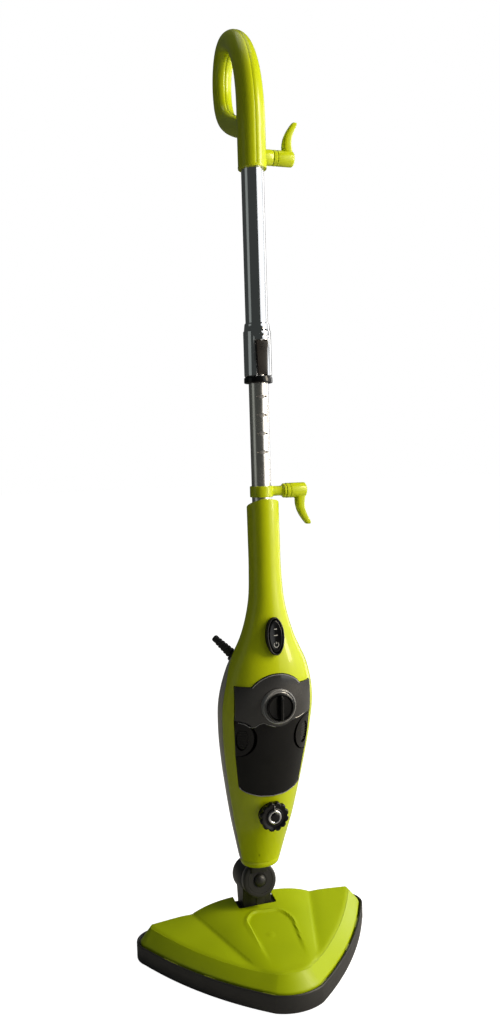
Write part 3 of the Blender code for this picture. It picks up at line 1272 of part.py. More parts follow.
def lock_pivot():
    half = math.sqrt(HOUSING_RADIUS ** 2 - LEVER_PIVOT_Y ** 2) - 0.0008
    return rod("lock_pivot", LEVER_PIVOT_RADIUS, -half, half, STEEL, (0, LEVER_PIVOT_Y, LEVER_PIVOT_Z),
               SIDE, 12)


# ================================================================ handle
def loop_points():
    """Centre and radius along the handle, as smooth rings in the plane x = 0."""
    route = [(0, y, HANDLE_RIM + h) for y, h, _ in LOOP]
    sizes = [(share * COLUMN_RADIUS, 0, 0) for _, _, share in LOOP]
    return list(zip(smooth(route, 2), [size.x for size in smooth(sizes, 2)]))


def loop_rings(stations, shrink, segments):
    rings = []
    for i, (centre, radius) in enumerate(stations):
        ahead = stations[min(i + 1, len(stations) - 1)][0]
        behind = stations[max(i - 1, 0)][0]
        along = (ahead - behind).normalized()
        normal = Vector((0, along.z, -along.y))
        rings.append([centre + (radius - shrink) * (math.cos(t) * SIDE + math.sin(t) * normal)
                      for t in [math.tau * k / segments for k in range(segments)]])
    return rings


def handle_half(side, name):
    """One half of the handle: column and loop, split on x = 0 and hollow."""
    stations = loop_points()
    middle = len(stations) // 2
    half = loft(f"handle_{name}", loop_rings(stations[:middle + 1], 0.0, 16), LIME)
    add(half, loft(f"loop_tail_{name}", loop_rings(stations[middle:], 0.0, 16)))
    if side > 0:
        add(half, rod("hook_boss", PEG_RADIUS, COLUMN_RADIUS * 0.55, UPPER_HOOK_SEAM_X,
                      centre=(0, 0, HANDLE_RIM + UPPER_HOOK_RISE), axis=SIDE))
        cut(half, rod("hook_stub_hole", STUB_RADIUS + RUN_GAP, UPPER_HOOK_SEAM_X - STUB_LENGTH - RUN_GAP,
                      UPPER_HOOK_SEAM_X + 0.01, centre=(0, 0, HANDLE_RIM + UPPER_HOOK_RISE), axis=SIDE,
                      segments=SMALL_SEGMENTS))
    cut(half, rod(f"handle_bore_{name}", UPPER_BORE, HANDLE_RIM - 0.01, UPPER_TUBE_END + GAP))
    first = next(i for i, (p, _) in enumerate(stations) if p.z > UPPER_TUBE_END + 0.012)
    last = len(stations) - 6
    cut(half, loft(f"handle_room_{name}", loop_rings(stations[first:last], HANDLE_SHELL, 12)))
    for number, seat in enumerate(handle_screw_seats(), 1):
        cut(half, rod(f"handle_screw_hole_{name}_{number}", SCREW_SHANK_RADIUS + GAP, -0.03, 0.008,
                      centre=(0, seat.y, seat.z), axis=SIDE, segments=12))
        cut(half, rod(f"handle_screw_seat_{name}_{number}", SCREW_HEAD_RADIUS + GAP, -0.03,
                      seat.x + SCREW_HEAD_HEIGHT + GAP, centre=(0, seat.y, seat.z), axis=SIDE, segments=12))
    reach = 0.30
    inner, outer = sorted((side * GAP / 2, side * reach))
    keep_inside(half, box(f"handle_side_{name}", (inner, -reach, HANDLE_RIM - 0.05), (outer, reach,
                                                                                      HANDLE_RIM + 0.30)))
    return half


def handle_screw_seats():
    """Head centres of the handle's screws, sunk in the left half."""
    stations = loop_points()
    result = []
    for index in (7, len(stations) - 14):
        centre, radius = stations[index]
        result.append(Vector((-radius + 0.0035, centre.y, centre.z)))
    return result


def handle_screws():
    return [screw(f"handle_screw_{number}", seat, -SIDE) for number, seat in enumerate(handle_screw_seats(),
                                                                                       1)]


# ================================================================ cord hooks
def cord_hook(node, seam, axis_z, direction):
    """Peg along X with a curved finger that stands up or hangs down."""
    start = seam + GAP
    end = start + PEG_LENGTH
    centre = (0, 0, axis_z)
    hook = turned(node, [(0, start), (PEG_RADIUS, start), (PEG_RADIUS, end - 0.0016), (PEG_RADIUS - 0.0016,
                                                                                       end), (0, end)],
                  LIME, centre, SIDE)
    add(hook, rod(f"{node}_stub", STUB_RADIUS, start - STUB_LENGTH, start + 0.002, centre=centre, axis=SIDE,
                  segments=SMALL_SEGMENTS))
    root = end - 0.0070
    rings = []
    for share, out, thick, deep in ((0.0, 0.0, 1.25, 1.05), (0.30, -0.0012, 1.15, 1.0), (0.55, 0.0008, 1.0,
                                                                                         0.96),
                                    (0.78, 0.0050, 0.85, 0.88), (0.92, 0.0085, 0.75, 0.76),
                                    (1.0, 0.0100, 0.5, 0.58)):
        z = axis_z + direction * (PEG_RADIUS * 0.5 + (HOOK_RISE + PEG_RADIUS * 0.5) * share)
        x = root + out * HOOK_SPREAD / 0.0100
        t = FINGER_HALF_THICKNESS * thick
        d = FINGER_HALF_DEPTH * deep
        rings.append([(x - t, -d, z), (x + t * 0.4, -d, z), (x + t, -d * 0.55, z), (x + t, d * 0.55, z),
                      (x + t * 0.4, d, z), (x - t, d, z), (x - t * 0.6, d * 0.55, z),
                      (x - t * 0.6, -d * 0.55, z)])
    if direction < 0:
        rings = rings[::-1]
    add(hook, loft(f"{node}_finger", rings))
    return hook


def hook_clip():
    """Band on the lower tube with the arm that carries the lower hook."""
    outer = LOWER_BORE + CLIP_WALL
    low, high = CLIP_Z - CLIP_HEIGHT / 2, CLIP_Z + CLIP_HEIGHT / 2
    centre = (0, 0, CLIP_Z)
    clip = rod("hook_clip", outer, low, high, LIME)
    flange = LOWER_HOOK_SEAM_X - CLIP_FLANGE
    add(clip, rod("clip_arm", CLIP_ARM_RADIUS, LOWER_BORE + GAP, flange + 0.001, centre=centre, axis=SIDE,
                  segments=SMALL_SEGMENTS))
    add(clip, rod("clip_flange", PEG_RADIUS - 0.0004, flange, LOWER_HOOK_SEAM_X, centre=centre, axis=SIDE))
    cut(clip, rod("clip_bore", LOWER_BORE, low - 0.01, high + 0.01))
    cut(clip, rod("clip_stub_hole", STUB_RADIUS + RUN_GAP, LOWER_HOOK_SEAM_X - STUB_LENGTH - RUN_GAP,
                  LOWER_HOOK_SEAM_X + 0.01, centre=centre, axis=SIDE, segments=SMALL_SEGMENTS))
    return clip


# ================================================================ assembly
def build():
    clear_scene()
    sole_plate()
    bumper_skirt()
    head_cover()
    steam_manifold()
    hinge_cradle()
    cradle_screws()
    pitch_pin()

    pitch = pivot("pitch_axis", (0, PITCH_Y, PITCH_Z))
    carry(pitch, swivel_leg(), swivel_seal(), barrel_end_cap())

    roll = pivot("roll_axis", BARREL_CENTRE, pitch)
    carry(roll, swivel_disc(), roll_pin(), bottom_collar(), front_shell(), rear_shell(), *shell_screws())
    carry(roll, tank_bay(), water_inlet(), pump(), boiler(), thermostat(), steam_valve())
    carry(roll, feed_hose(), pressure_hose(), steam_pipe())
    carry(roll, switch_bezel(), dial_bezel(), cord_gland(), cord_boot())
    carry(roll, lower_tube(), guide_bush(), hook_clip())

    carry(pivot("switch_axis", (0, SWITCH_FACE_Y, SWITCH_Z), roll), power_switch())
    carry(pivot("dial_axis", (0, DIAL_FRONT_Y, DIAL_Z), roll), steam_dial(), dial_insert())
    carry(pivot("lower_hook_axis", (LOWER_HOOK_SEAM_X, 0, CLIP_Z), roll),
          cord_hook("lower_hook", LOWER_HOOK_SEAM_X, CLIP_Z, -1))

    tank = pivot("tank_slide", (0, 0, TANK_CAP_Z), roll)
    carry(tank, water_tank(), filler_collar(), tank_outlet())
    carry(pivot("cap_axis", (0, FILLER_FRONT_Y, TANK_CAP_Z), tank), tank_cap(), cap_seal())
    for side, name in ((-1, "left"), (1, "right")):
        carry(pivot(f"latch_slide_{name}", (side * TANK_HALF_WIDTH, 0, LATCH_Z), tank), latch(side, name))

    stick = pivot("pole_slide", (0, 0, RING_BOTTOM), roll)
    carry(stick, upper_tube(), lock_housing(), lock_ring(), lock_pivot())
    carry(stick, handle_half(-1, "left"), handle_half(1, "right"), *handle_screws())
    carry(pivot("lever_axis", (0, LEVER_PIVOT_Y, LEVER_PIVOT_Z), stick), lock_lever())
    carry(pivot("upper_hook_axis", (UPPER_HOOK_SEAM_X, 0, HANDLE_RIM + UPPER_HOOK_RISE), stick),
          cord_hook("upper_hook", UPPER_HOOK_SEAM_X, HANDLE_RIM + UPPER_HOOK_RISE, 1))


build()
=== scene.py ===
from math import acos, asin, atan2, copysign, cos, exp, pi, radians, sin, sqrt, tan, tau

import bmesh
import bpy
from mathutils import Matrix, Vector


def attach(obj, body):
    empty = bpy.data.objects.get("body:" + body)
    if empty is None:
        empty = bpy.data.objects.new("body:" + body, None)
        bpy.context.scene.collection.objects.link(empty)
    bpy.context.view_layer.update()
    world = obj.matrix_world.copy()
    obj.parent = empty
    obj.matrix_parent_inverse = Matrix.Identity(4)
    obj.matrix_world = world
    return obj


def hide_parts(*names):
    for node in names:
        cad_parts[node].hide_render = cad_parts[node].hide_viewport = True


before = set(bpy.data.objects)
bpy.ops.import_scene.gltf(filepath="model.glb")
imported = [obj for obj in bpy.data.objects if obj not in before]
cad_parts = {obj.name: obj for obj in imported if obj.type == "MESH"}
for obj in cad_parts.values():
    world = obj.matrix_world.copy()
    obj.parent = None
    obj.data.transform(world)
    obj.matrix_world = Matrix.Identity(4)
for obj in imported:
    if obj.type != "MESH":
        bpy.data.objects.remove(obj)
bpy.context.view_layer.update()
print("frame loaded")

up = Vector((0, 0, 1))
side = Vector((1, 0, 0))
forward = Vector((0, -1, 0))


# camera, set first
cameraSettings = {
    "place": (-0.35597, -1.03131, 0.66560),
    "yaw": 18.263,      # degrees to the right of straight ahead
    "down": 4.367,
    "roll": 1.7,
    "lens": 31.24,
}


def setCamera(s):
    yaw, down, roll = (radians(s[key]) for key in ("yaw", "down", "roll"))
    ahead = Vector((sin(yaw), cos(yaw), 0))
    right = Vector((cos(yaw), -sin(yaw), 0))
    look = ahead * cos(down) - up * sin(down)
    top = ahead * sin(down) + up * cos(down)
    x = right * cos(roll) - top * sin(roll)
    y = right * sin(roll) + top * cos(roll)
    data = bpy.data.cameras.new("mopCamera")
    data.lens = s["lens"]
    data.sensor_width = 36
    data.clip_end = 60
    camera = bpy.data.objects.new("mopCamera", data)
    bpy.context.scene.collection.objects.link(camera)
    camera.matrix_world = Matrix.Translation(s["place"]) @ Matrix((x, y, -look)).transposed().to_4x4()
    bpy.context.scene.camera = camera


setCamera(cameraSettings)
print("camera set")


# finishes: each has its own grain, tone drift and gloss drift
def addNode(tree, kind, **sockets):
    node = tree.nodes.new(kind)
    for name, value in sockets.items():
        node.inputs[name.replace("_", " ")].default_value = value
    return node


def noiseOf(tree, place, scale, detail=3.0, rough=0.55):
    noise = addNode(tree, "ShaderNodeTexNoise", Scale=scale, Detail=detail, Roughness=rough)
    tree.links.new(place.outputs["Object"], noise.inputs["Vector"])
    return noise


def spreadOf(tree, source, low, high):
    spread = addNode(tree, "ShaderNodeMapRange", From_Min=0.3, From_Max=0.7, To_Min=low, To_Max=high)
    tree.links.new(source, spread.inputs["Value"])
    return spread.outputs["Result"]


def makeFinish(name, s):
    material = bpy.data.materials.new(name)
    material.use_nodes = True
    tree = material.node_tree
    shader = tree.nodes["Principled BSDF"]
    place = tree.nodes.new("ShaderNodeTexCoord")
    # tone: broad drift
    broad = noiseOf(tree, place, s.get("driftScale", 9.0))
    ramp = tree.nodes.new("ShaderNodeValToRGB")
    dark, light = s["tone"]
    ramp.color_ramp.elements[0].position = 0.30
    ramp.color_ramp.elements[0].color = (*dark, 1)
    ramp.color_ramp.elements[1].position = 0.72
    ramp.color_ramp.elements[1].color = (*light, 1)
    tree.links.new(broad.outputs["Fac"], ramp.inputs["Fac"])
    tree.links.new(ramp.outputs["Color"], shader.inputs["Base Color"])
    # gloss: smudges of handling
    smudge = noiseOf(tree, place, s.get("smudgeScale", 38.0), 5.0, 0.6)
    low, high = s["rough"]
    tree.links.new(spreadOf(tree, smudge.outputs["Fac"], low, high), shader.inputs["Roughness"])
    # grain of the mould or the plating
    grain = noiseOf(tree, place, s["grainScale"], 2.0, 0.5)
    if "brush" in s:
        stretch = addNode(tree, "ShaderNodeMapping")
        stretch.inputs["Scale"].default_value = s["brush"]
        tree.links.new(place.outputs["Object"], stretch.inputs["Vector"])
        tree.links.new(stretch.outputs["Vector"], grain.inputs["Vector"])
    bump = addNode(tree, "ShaderNodeBump", Strength=s["grain"], Distance=0.0006)
    tree.links.new(grain.outputs["Fac"], bump.inputs["Height"])
    tree.links.new(bump.outputs["Normal"], shader.inputs["Normal"])
    shader.inputs["Metallic"].default_value = s.get("metal", 0.0)
    shader.inputs["Coat Weight"].default_value = s.get("coat", 0.0)
    shader.inputs["Coat Roughness"].default_value = s.get("coatRough", 0.06)
    shader.inputs["Specular IOR Level"].default_value = s.get("specular", 0.5)
    shader.inputs["Subsurface Weight"].default_value = s.get("glow", 0.0)
    if "glow" in s:
        shader.inputs["Subsurface Radius"].default_value = (0.004, 0.004, 0.001)
    material.diffuse_color = (*light, 1)
    return material


finishes = {
    "limeGloss": {"tone": ((0.455, 0.535, 0.0015), (0.500, 0.580, 0.0022)), "rough": (0.30, 0.38),
                  "grainScale": 900.0, "grain": 0.035, "coat": 0.30, "coatRough": 0.10, "specular": 0.22},
    "limeSatin": {"tone": ((0.330, 0.430, 0.0010), (0.370, 0.470, 0.0014)), "rough": (0.38, 0.48),
                  "grainScale": 1400.0, "grain": 0.07, "coat": 0.05, "coatRough": 0.18, "specular": 0.22},
    "warmGreyGloss": {"tone": ((0.36, 0.345, 0.31), (0.42, 0.405, 0.365)), "rough": (0.26, 0.36),
                      "grainScale": 900.0, "grain": 0.05, "coat": 0.3, "coatRough": 0.12},
    "blackSatin": {"tone": ((0.0070, 0.0070, 0.0080), (0.0115, 0.0115, 0.0125)), "rough": (0.40, 0.54),
                   "grainScale": 1600.0, "grain": 0.16, "specular": 0.30},
    "blackGloss": {"tone": ((0.0030, 0.0030, 0.0034), (0.0048, 0.0048, 0.0052)), "rough": (0.18, 0.28),
                   "grainScale": 900.0, "grain": 0.03, "coat": 0.12, "specular": 0.22},
    "skirtBlack": {"tone": ((0.0120, 0.0118, 0.0130), (0.0200, 0.0195, 0.0190)), "rough": (0.40, 0.54),
                   "grainScale": 1300.0, "grain": 0.20, "specular": 0.55},
    "knuckleBlack": {"tone": ((0.0120, 0.0118, 0.0115), (0.0185, 0.0180, 0.0170)), "rough": (0.34, 0.46),
                     "grainScale": 1500.0, "grain": 0.12, "specular": 0.40},
    "smokeClear": {"tone": ((0.020, 0.020, 0.021), (0.036, 0.036, 0.038)), "rough": (0.10, 0.18),
                   "driftScale": 26.0, "grainScale": 220.0, "grain": 0.05, "coat": 0.5, "coatRough": 0.04,
                   "specular": 0.40},
    "smokeDeep": {"tone": ((0.0045, 0.0045, 0.0050), (0.0080, 0.0080, 0.0085)), "rough": (0.30, 0.42),
                  "driftScale": 30.0, "grainScale": 500.0, "grain": 0.08, "specular": 0.18},
    # light grey smoke: a painted highlight for the bright rims and edges of the smoked tank
    "smokePaintedHighlight": {"tone": ((0.15, 0.15, 0.155), (0.24, 0.24, 0.245)), "rough": (0.12, 0.20),
                  "grainScale": 500.0, "grain": 0.03, "coat": 0.8},
    "softRubber": {"tone": ((0.010, 0.010, 0.010), (0.015, 0.015, 0.015)), "rough": (0.55, 0.70),
                   "grainScale": 1800.0, "grain": 0.20},
    "buttonBrown": {"tone": ((0.011, 0.0085, 0.0070), (0.020, 0.015, 0.012)), "rough": (0.30, 0.42),
                    "grainScale": 1200.0, "grain": 0.08, "coat": 0.15, "specular": 0.30},
    "chromePlate": {"tone": ((0.60, 0.60, 0.61), (0.68, 0.68, 0.69)), "rough": (0.07, 0.14), "metal": 1.0,
                    "grainScale": 300.0, "grain": 0.012, "brush": (1.0, 1.0, 0.08)},
    "tubeChrome": {"tone": ((0.74, 0.70, 0.65), (0.82, 0.78, 0.73)), "rough": (0.20, 0.30), "metal": 1.0,
                   "grainScale": 300.0, "grain": 0.018, "brush": (1.0, 1.0, 0.06)},
    "plainSteel": {"tone": ((0.42, 0.42, 0.42), (0.52, 0.52, 0.52)), "rough": (0.25, 0.38), "metal": 1.0,
                   "grainScale": 700.0, "grain": 0.05},
    "slotSteel": {"tone": ((0.17, 0.17, 0.175), (0.24, 0.24, 0.245)), "rough": (0.40, 0.55), "metal": 0.6,
                  "grainScale": 700.0, "grain": 0.06},
    "castAluminium": {"tone": ((0.50, 0.50, 0.51), (0.62, 0.62, 0.63)), "rough": (0.38, 0.52), "metal": 1.0,
                      "grainScale": 900.0, "grain": 0.15},
    "brassPlain": {"tone": ((0.52, 0.37, 0.13), (0.66, 0.48, 0.18)), "rough": (0.25, 0.36), "metal": 1.0,
                   "grainScale": 700.0, "grain": 0.05},
    "markWhite": {"tone": ((0.50, 0.50, 0.48), (0.62, 0.62, 0.60)), "rough": (0.45, 0.55),
                  "grainScale": 900.0, "grain": 0.05},
    # darker copy of the lime: painted shade for the clips in the rim gap
    "limePaintedShade": {"tone": ((0.22, 0.27, 0.01), (0.27, 0.32, 0.015)), "rough": (0.45, 0.55),
                 "grainScale": 900.0, "grain": 0.05},
}
look = {name: makeFinish(name, s) for name, s in finishes.items()}
print("finishes made:", len(look))


# CAD nodes that keep their own shape
keptNodes = {
    "blackSatin": ("sole_plate", "steam_manifold", "hinge_cradle", "tank_bay", "water_inlet", "guide_bush",
                   "dial_bezel"),
    "softRubber": ("swivel_seal", "feed_hose", "pressure_hose", "tank_outlet", "cap_seal"),
    "plainSteel": ("pitch_pin", "cradle_screw_1", "cradle_screw_2", "shell_screw_1", "shell_screw_2",
                   "shell_screw_3", "shell_screw_4", "shell_screw_5", "pump", "thermostat", "lock_pivot",
                   "handle_screw_1", "handle_screw_2"),
    "castAluminium": ("boiler",),
    "brassPlain": ("steam_valve", "steam_pipe"),
}
for finish, names in keptNodes.items():
    for name in names:
        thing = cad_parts[name]
        for index in range(len(thing.material_slots)):
            thing.material_slots[index].material = look[finish]


# mesh tools
def piece(name, points, faces, finish, body=None, sharp=38, replaces=()):
    mesh = bpy.data.meshes.new(name)
    mesh.from_pydata([tuple(p) for p in points], [], faces)
    bm = bmesh.new()
    bm.from_mesh(mesh)
    bmesh.ops.remove_doubles(bm, verts=bm.verts, dist=1e-7)
    bmesh.ops.recalc_face_normals(bm, faces=bm.faces)
    if bm.calc_volume(signed=True) < 0:
        bmesh.ops.reverse_faces(bm, faces=bm.faces)
    bm.to_mesh(mesh)
    bm.free()
    mesh.materials.append(look[finish])
    thing = bpy.data.objects.new(name, mesh)
    bpy.context.scene.collection.objects.link(thing)
    return dress(thing, body, sharp, replaces)


def dress(thing, body, sharp=38, replaces=()):
    if sharp:
        thing.data.shade_smooth()
        thing.data.set_sharp_from_angle(angle=radians(sharp))
    if body:
        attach(thing, body)
    if replaces:
        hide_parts(*replaces)
    return thing


def loftFaces(count, rows, closed=False, capped=True):
    faces = []
    for i in range(rows if closed else rows - 1):
        low, high = i * count, (i + 1) % rows * count
        for j in range(count):
            k = (j + 1) % count
            faces.append((low + j, low + k, high + k, high + j))
    if capped and not closed:
        faces.append(tuple(range(count))[::-1])
        faces.append(tuple((rows - 1) * count + j for j in range(count)))
    return faces


def loft(name, rings, finish, body=None, closed=False, **more):
    points = [p for ring in rings for p in ring]
    return piece(name, points, loftFaces(len(rings[0]), len(rings), closed), finish, body, **more)


def axisFrame(centre, axis):
    z = Vector(axis).normalized()
    x = side if abs(z.x) < 0.9 else Vector((0, 1, 0))
    y = z.cross(x).normalized()
    x = y.cross(z).normalized()
    return Matrix.Translation(centre) @ Matrix((x, y, z)).transposed().to_4x4()


def turned(name, profile, finish, body=None, centre=(0, 0, 0), axis=up, segments=64, **more):
    place = axisFrame(centre, axis)
    points = []
    for r, h in profile:
        for i in range(segments):
            a = tau * i / segments
            points.append(place @ Vector((r * cos(a), r * sin(a), h)))
    return piece(name, points, loftFaces(segments, len(profile), True), finish, body, **more)


def rounded(corners, radius, steps=4):  # a corner is (x, y) or (x, y, its own radius)
    result = []
    count = len(corners)
    for i, corner in enumerate(corners):
        here = Vector(corner[:2])
        r = corner[2] if len(corner) > 2 else radius
        before = (Vector(corners[i - 1][:2]) - here)
        after = (Vector(corners[(i + 1) % count][:2]) - here)
        if r <= 0 or before.length < 1e-9 or after.length < 1e-9:
            result.append(here)
            continue
        half = before.angle(after) / 2
        reach = min(r / tan(max(half, 0.05)), before.length * 0.48, after.length * 0.48)
        a = here + before.normalized() * reach
        b = here + after.normalized() * reach
        for k in range(steps + 1):
            t = k / steps
            result.append((1 - t) ** 2 * a + 2 * t * (1 - t) * here + t * t * b)
    return result


def through(points, samples):  # smooth curve, ends included
    values = [Vector(p) for p in points]
    result = []
    for i in range(len(values) - 1):
        a, b = values[max(i - 1, 0)], values[i]
        c, d = values[i + 1], values[min(i + 2, len(values) - 1)]
        for k in range(samples):
            t = k / samples
            result.append(0.5 * (2 * b + (c - a) * t + (2 * a - 5 * b + 4 * c - d) * t * t
                                 + (3 * b - a - 3 * c + d) * t ** 3))
    return result + [values[-1]]


def tube(name, points, radius, finish, body=None, count=8, **more):
    values = [Vector(p) for p in points]
    rings = []
    normal = None
    for i, p in enumerate(values):
        along = (values[min(i + 1, len(values) - 1)] - values[max(i - 1, 0)]).normalized()
        if normal is None:
            normal = side if abs(along.x) < 0.8 else up
        normal = (normal - along * normal.dot(along)).normalized()
        other = along.cross(normal)
        rings.append([p + radius * (cos(t) * normal + sin(t) * other)
                      for t in [tau * k / count for k in range(count)]])
    return loft(name, rings, finish, body, **more)


def boolean(target, cutter, operation):
    change = target.modifiers.new("shape", "BOOLEAN")
    change.operation = operation
    change.solver = "EXACT"
    change.object = cutter
    graph = bpy.context.evaluated_depsgraph_get()
    mesh = bpy.data.meshes.new_from_object(target.evaluated_get(graph))
    target.modifiers.clear()
    old = target.data
    target.data = mesh
    bpy.data.meshes.remove(old)
    bpy.data.objects.remove(cutter, do_unlink=True)
    return target


def carve(target, *cutters):
    for cutter in cutters:
        boolean(target, cutter, "DIFFERENCE")
    return target


def softEdges(thing, width):  # small round on the sharp edges, kept as a modifier
    edges = thing.modifiers.new("edges", "BEVEL")
    edges.width = width
    edges.segments = 3
    edges.limit_method = "ANGLE"
    edges.angle_limit = radians(40)
    edges.harden_normals = True
    edges.use_clamp_overlap = True


# an outline of (x, z) run along Y, or along a frame's Z when one is given
def prism(name, outline, front, back, finish="blackSatin", place=None):
    if place is None:
        rings = [[(x, y, z) for x, z in outline] for y in (front, back)]
    else:
        rings = [[place @ Vector((x, z, h)) for x, z in outline] for h in (front, back)]
    return loft(name, rings, finish)


def ovalOutline(halfWidth, halfHeight, count=72, power=2.0):
    result = []
    for i in range(count):
        c, s = cos(tau * i / count), sin(tau * i / count)
        result.append((halfWidth * copysign(abs(c) ** (2 / power), c),
                       halfHeight * copysign(abs(s) ** (2 / power), s)))
    return result


def arcPoints(centre, reach, start, end, steps):  # both ends included
    angles = [start + (end - start) * i / steps for i in range(steps + 1)]
    return [(centre[0] + reach[0] * cos(a), centre[1] + reach[1] * sin(a)) for a in angles]


def pairs(points):
    return [(p.x, p.y) for p in points]


def column(outline, levels, name, finish, body=None):  # an outline of points run up Z
    return loft(name, [[(p.x, p.y, z) for p in outline] for z in levels], finish, body)


# steam head
headSettings = {
    "halfWidth": 0.1600, "back": 0.1130, "nose": -0.0940, "cornerRadius": 0.0280, "noseRadius": 0.0620,
    "bow": radians(12.0), "skirtTop": 0.0250, "skirtBottom": 0.0030, "skirtWall": 0.0028,
    "coverBack": 0.0870, "coverFoot": 0.0110, "shoulder": 0.0255, "bevel": 0.0145, "wall": 0.0026,
    "creaseBackX": 0.0800, "creaseNoseX": 0.0340, "creaseNoseY": -0.0600, "creaseBackZ": 0.0485,
    "wingX": 0.0850, "wingY": 0.0880, "bonnetBack": 0.0115, "bonnetNose": 0.0030,
    "notchHalf": 0.0265, "notchFront": 0.0620, "valley": 0.0013, "valleyWide": 0.0045,
    "rimGap": 0.0023, "roll": 0.0010, "rollWide": 0.0050,
    "fieldReach": 0.150, "fieldNose": -0.095, "fieldStep": 0.0022,
    # clips on the rim: the steps of the plan that each spans, its insets and its foot
    "clips": ((22, 26), (30, 33), (40, 43)), "clipInsets": (0.0028, 0.0049), "clipFoot": 0.0170,
}


def headHalf(inset, back=None, fine=2):
    s = headSettings
    corner = Vector((s["halfWidth"] - s["cornerRadius"], s["back"] - s["cornerRadius"]))
    nose = Vector((0, s["nose"] + s["noseRadius"]))
    line = (nose - corner).normalized()
    outward = Vector((-line.y, line.x))
    if outward.x < 0:
        outward = -outward
    angle = atan2(outward.y, outward.x)
    start = pi / 2
    if back is not None:
        start = asin(min(1.0, (back - corner.y) / (s["cornerRadius"] - inset)))

    def arc(centre, radius, a, b, steps):
        return [centre + radius * Vector(p) for p in arcPoints((0, 0), (1, 1), a, b, steps)]
    leave, meet = angle + s["bow"], angle - s["bow"]
    points = arc(corner, s["cornerRadius"] - inset, start, leave, 6 * fine)
    first = points[-1]
    last = nose + (s["noseRadius"] - inset) * Vector((cos(meet), sin(meet)))
    chord = last - first
    control = first + chord / 2 + outward * chord.length / 2 * tan(s["bow"])
    steps = 8 * fine
    for i in range(1, steps):
        t = i / steps
        points.append((1 - t) ** 2 * first + 2 * t * (1 - t) * control + t * t * last)
    return points + arc(nose, s["noseRadius"] - inset, meet, -pi / 2, 7 * fine)


def headPlan(inset, back=None, fine=2):
    right = headHalf(inset, back, fine)
    return right + [Vector((-p.x, p.y)) for p in reversed(right[:-1])]


panelSettings = {
    "outline": ((-0.0245, 0.0360, 0.016), (-0.0130, 0.0500, 0.016), (0.0260, 0.0450, 0.020),
                (0.0340, 0.0240, 0.024), (0.0230, -0.0700, 0.020), (-0.0220, -0.0700, 0.020)),
    "depth": 0.0016, "wide": 0.0030, "fadeFrom": -0.010, "fadeTo": -0.058, "reach": 0.05,
    "ridge": 0.0010, "ridgeAt": 0.0012, "ridgeWide": 0.0022,
    "markAt": (-0.0040, 0.0020), "markRadius": 0.0052, "markRise": 0.0004,
}


def outlineDistance(p, outline):  # negative inside
    best = 1e9
    inside = False
    for i in range(len(outline)):
        a, b = outline[i - 1], outline[i]
        edge = b - a
        t = max(0.0, min(1.0, (p - a).dot(edge) / max(edge.length_squared, 1e-12)))
        best = min(best, (p - a - edge * t).length)
        if (a.y > p.y) != (b.y > p.y) and p.x < a.x + (p.y - a.y) / (b.y - a.y) * edge.x:
            inside = not inside
    return -best if inside else best


panelOutline = rounded(panelSettings["outline"], 0.012, 8)


def ease(t):
    t = max(0.0, min(1.0, t))
    return t * t * (3 - 2 * t)


def creaseAt(y):
    s = headSettings
    share = (y - s["creaseNoseY"]) / (s["coverBack"] - s["creaseNoseY"])
    return s["creaseNoseX"] + (s["creaseBackX"] - s["creaseNoseX"]) * share, share


def coverHeight(x, y):
    s, q = headSettings, panelSettings

    def wingAt(half):
        return s["creaseBackZ"] + s["wingX"] * (s["creaseBackX"] - half) + s["wingY"] * (y - s["coverBack"])
    half, share = creaseAt(y)
    if abs(x) >= half:
        # the wing dips to a valley beside the crease, then rises
        away = (abs(x) - half) / s["valleyWide"]
        return wingAt(abs(x)) - s["valley"] * away * exp(1 - away) * ease((y + 0.055) / 0.03)
    rise = s["bonnetNose"] + (s["bonnetBack"] - s["bonnetNose"]) * max(0.0, share)
    height = wingAt(half) + rise * (1 - (abs(x) / half) ** 3.0)
    if abs(x) < q["reach"]:
        here = Vector((x, y))
        d = outlineDistance(here, panelOutline)
        fade = ease((y - q["fadeTo"]) / (q["fadeFrom"] - q["fadeTo"]))
        height -= q["depth"] * fade * ease(-d / q["wide"] + 0.35)
        swell = exp(-((d - q["ridgeAt"]) / q["ridgeWide"]) ** 2)
        height += q["ridge"] * fade * swell * ease((y + 0.03) / 0.06)
        mark = (here - Vector(q["markAt"])).length
        height += q["markRise"] * ease((q["markRadius"] - mark) / 0.001)
    return height


def coverSides(s, outer, inner):
    rows = [[(p.x, p.y, z) for p in outer] for z in (s["coverFoot"], s["shoulder"] - 0.0012)]
    # rounded shoulder, bevel face, rounded crest
    for share in (0.0, 0.03, 0.07, 0.30, 0.60, 0.90, 0.96, 1.0):
        turn = max(0.0, 1 - share / 0.05) ** 2 + max(0.0, (share - 0.93) / 0.07) ** 2
        row = []
        for o, i in zip(outer, inner):
            p = o.lerp(i, share)
            z = s["shoulder"] + (coverHeight(i.x, i.y) - s["shoulder"]) * share
            row.append((p.x, p.y, z - s["roll"] * turn))
        rows.append(row)
    points = [p for row in rows for p in row]
    return piece("headCoverSides", points, loftFaces(len(outer), len(rows), capped=False), "limeSatin")


def slicePlane(bm, place, normal):
    bmesh.ops.bisect_plane(bm, geom=bm.verts[:] + bm.edges[:] + bm.faces[:], plane_co=place, plane_no=normal)


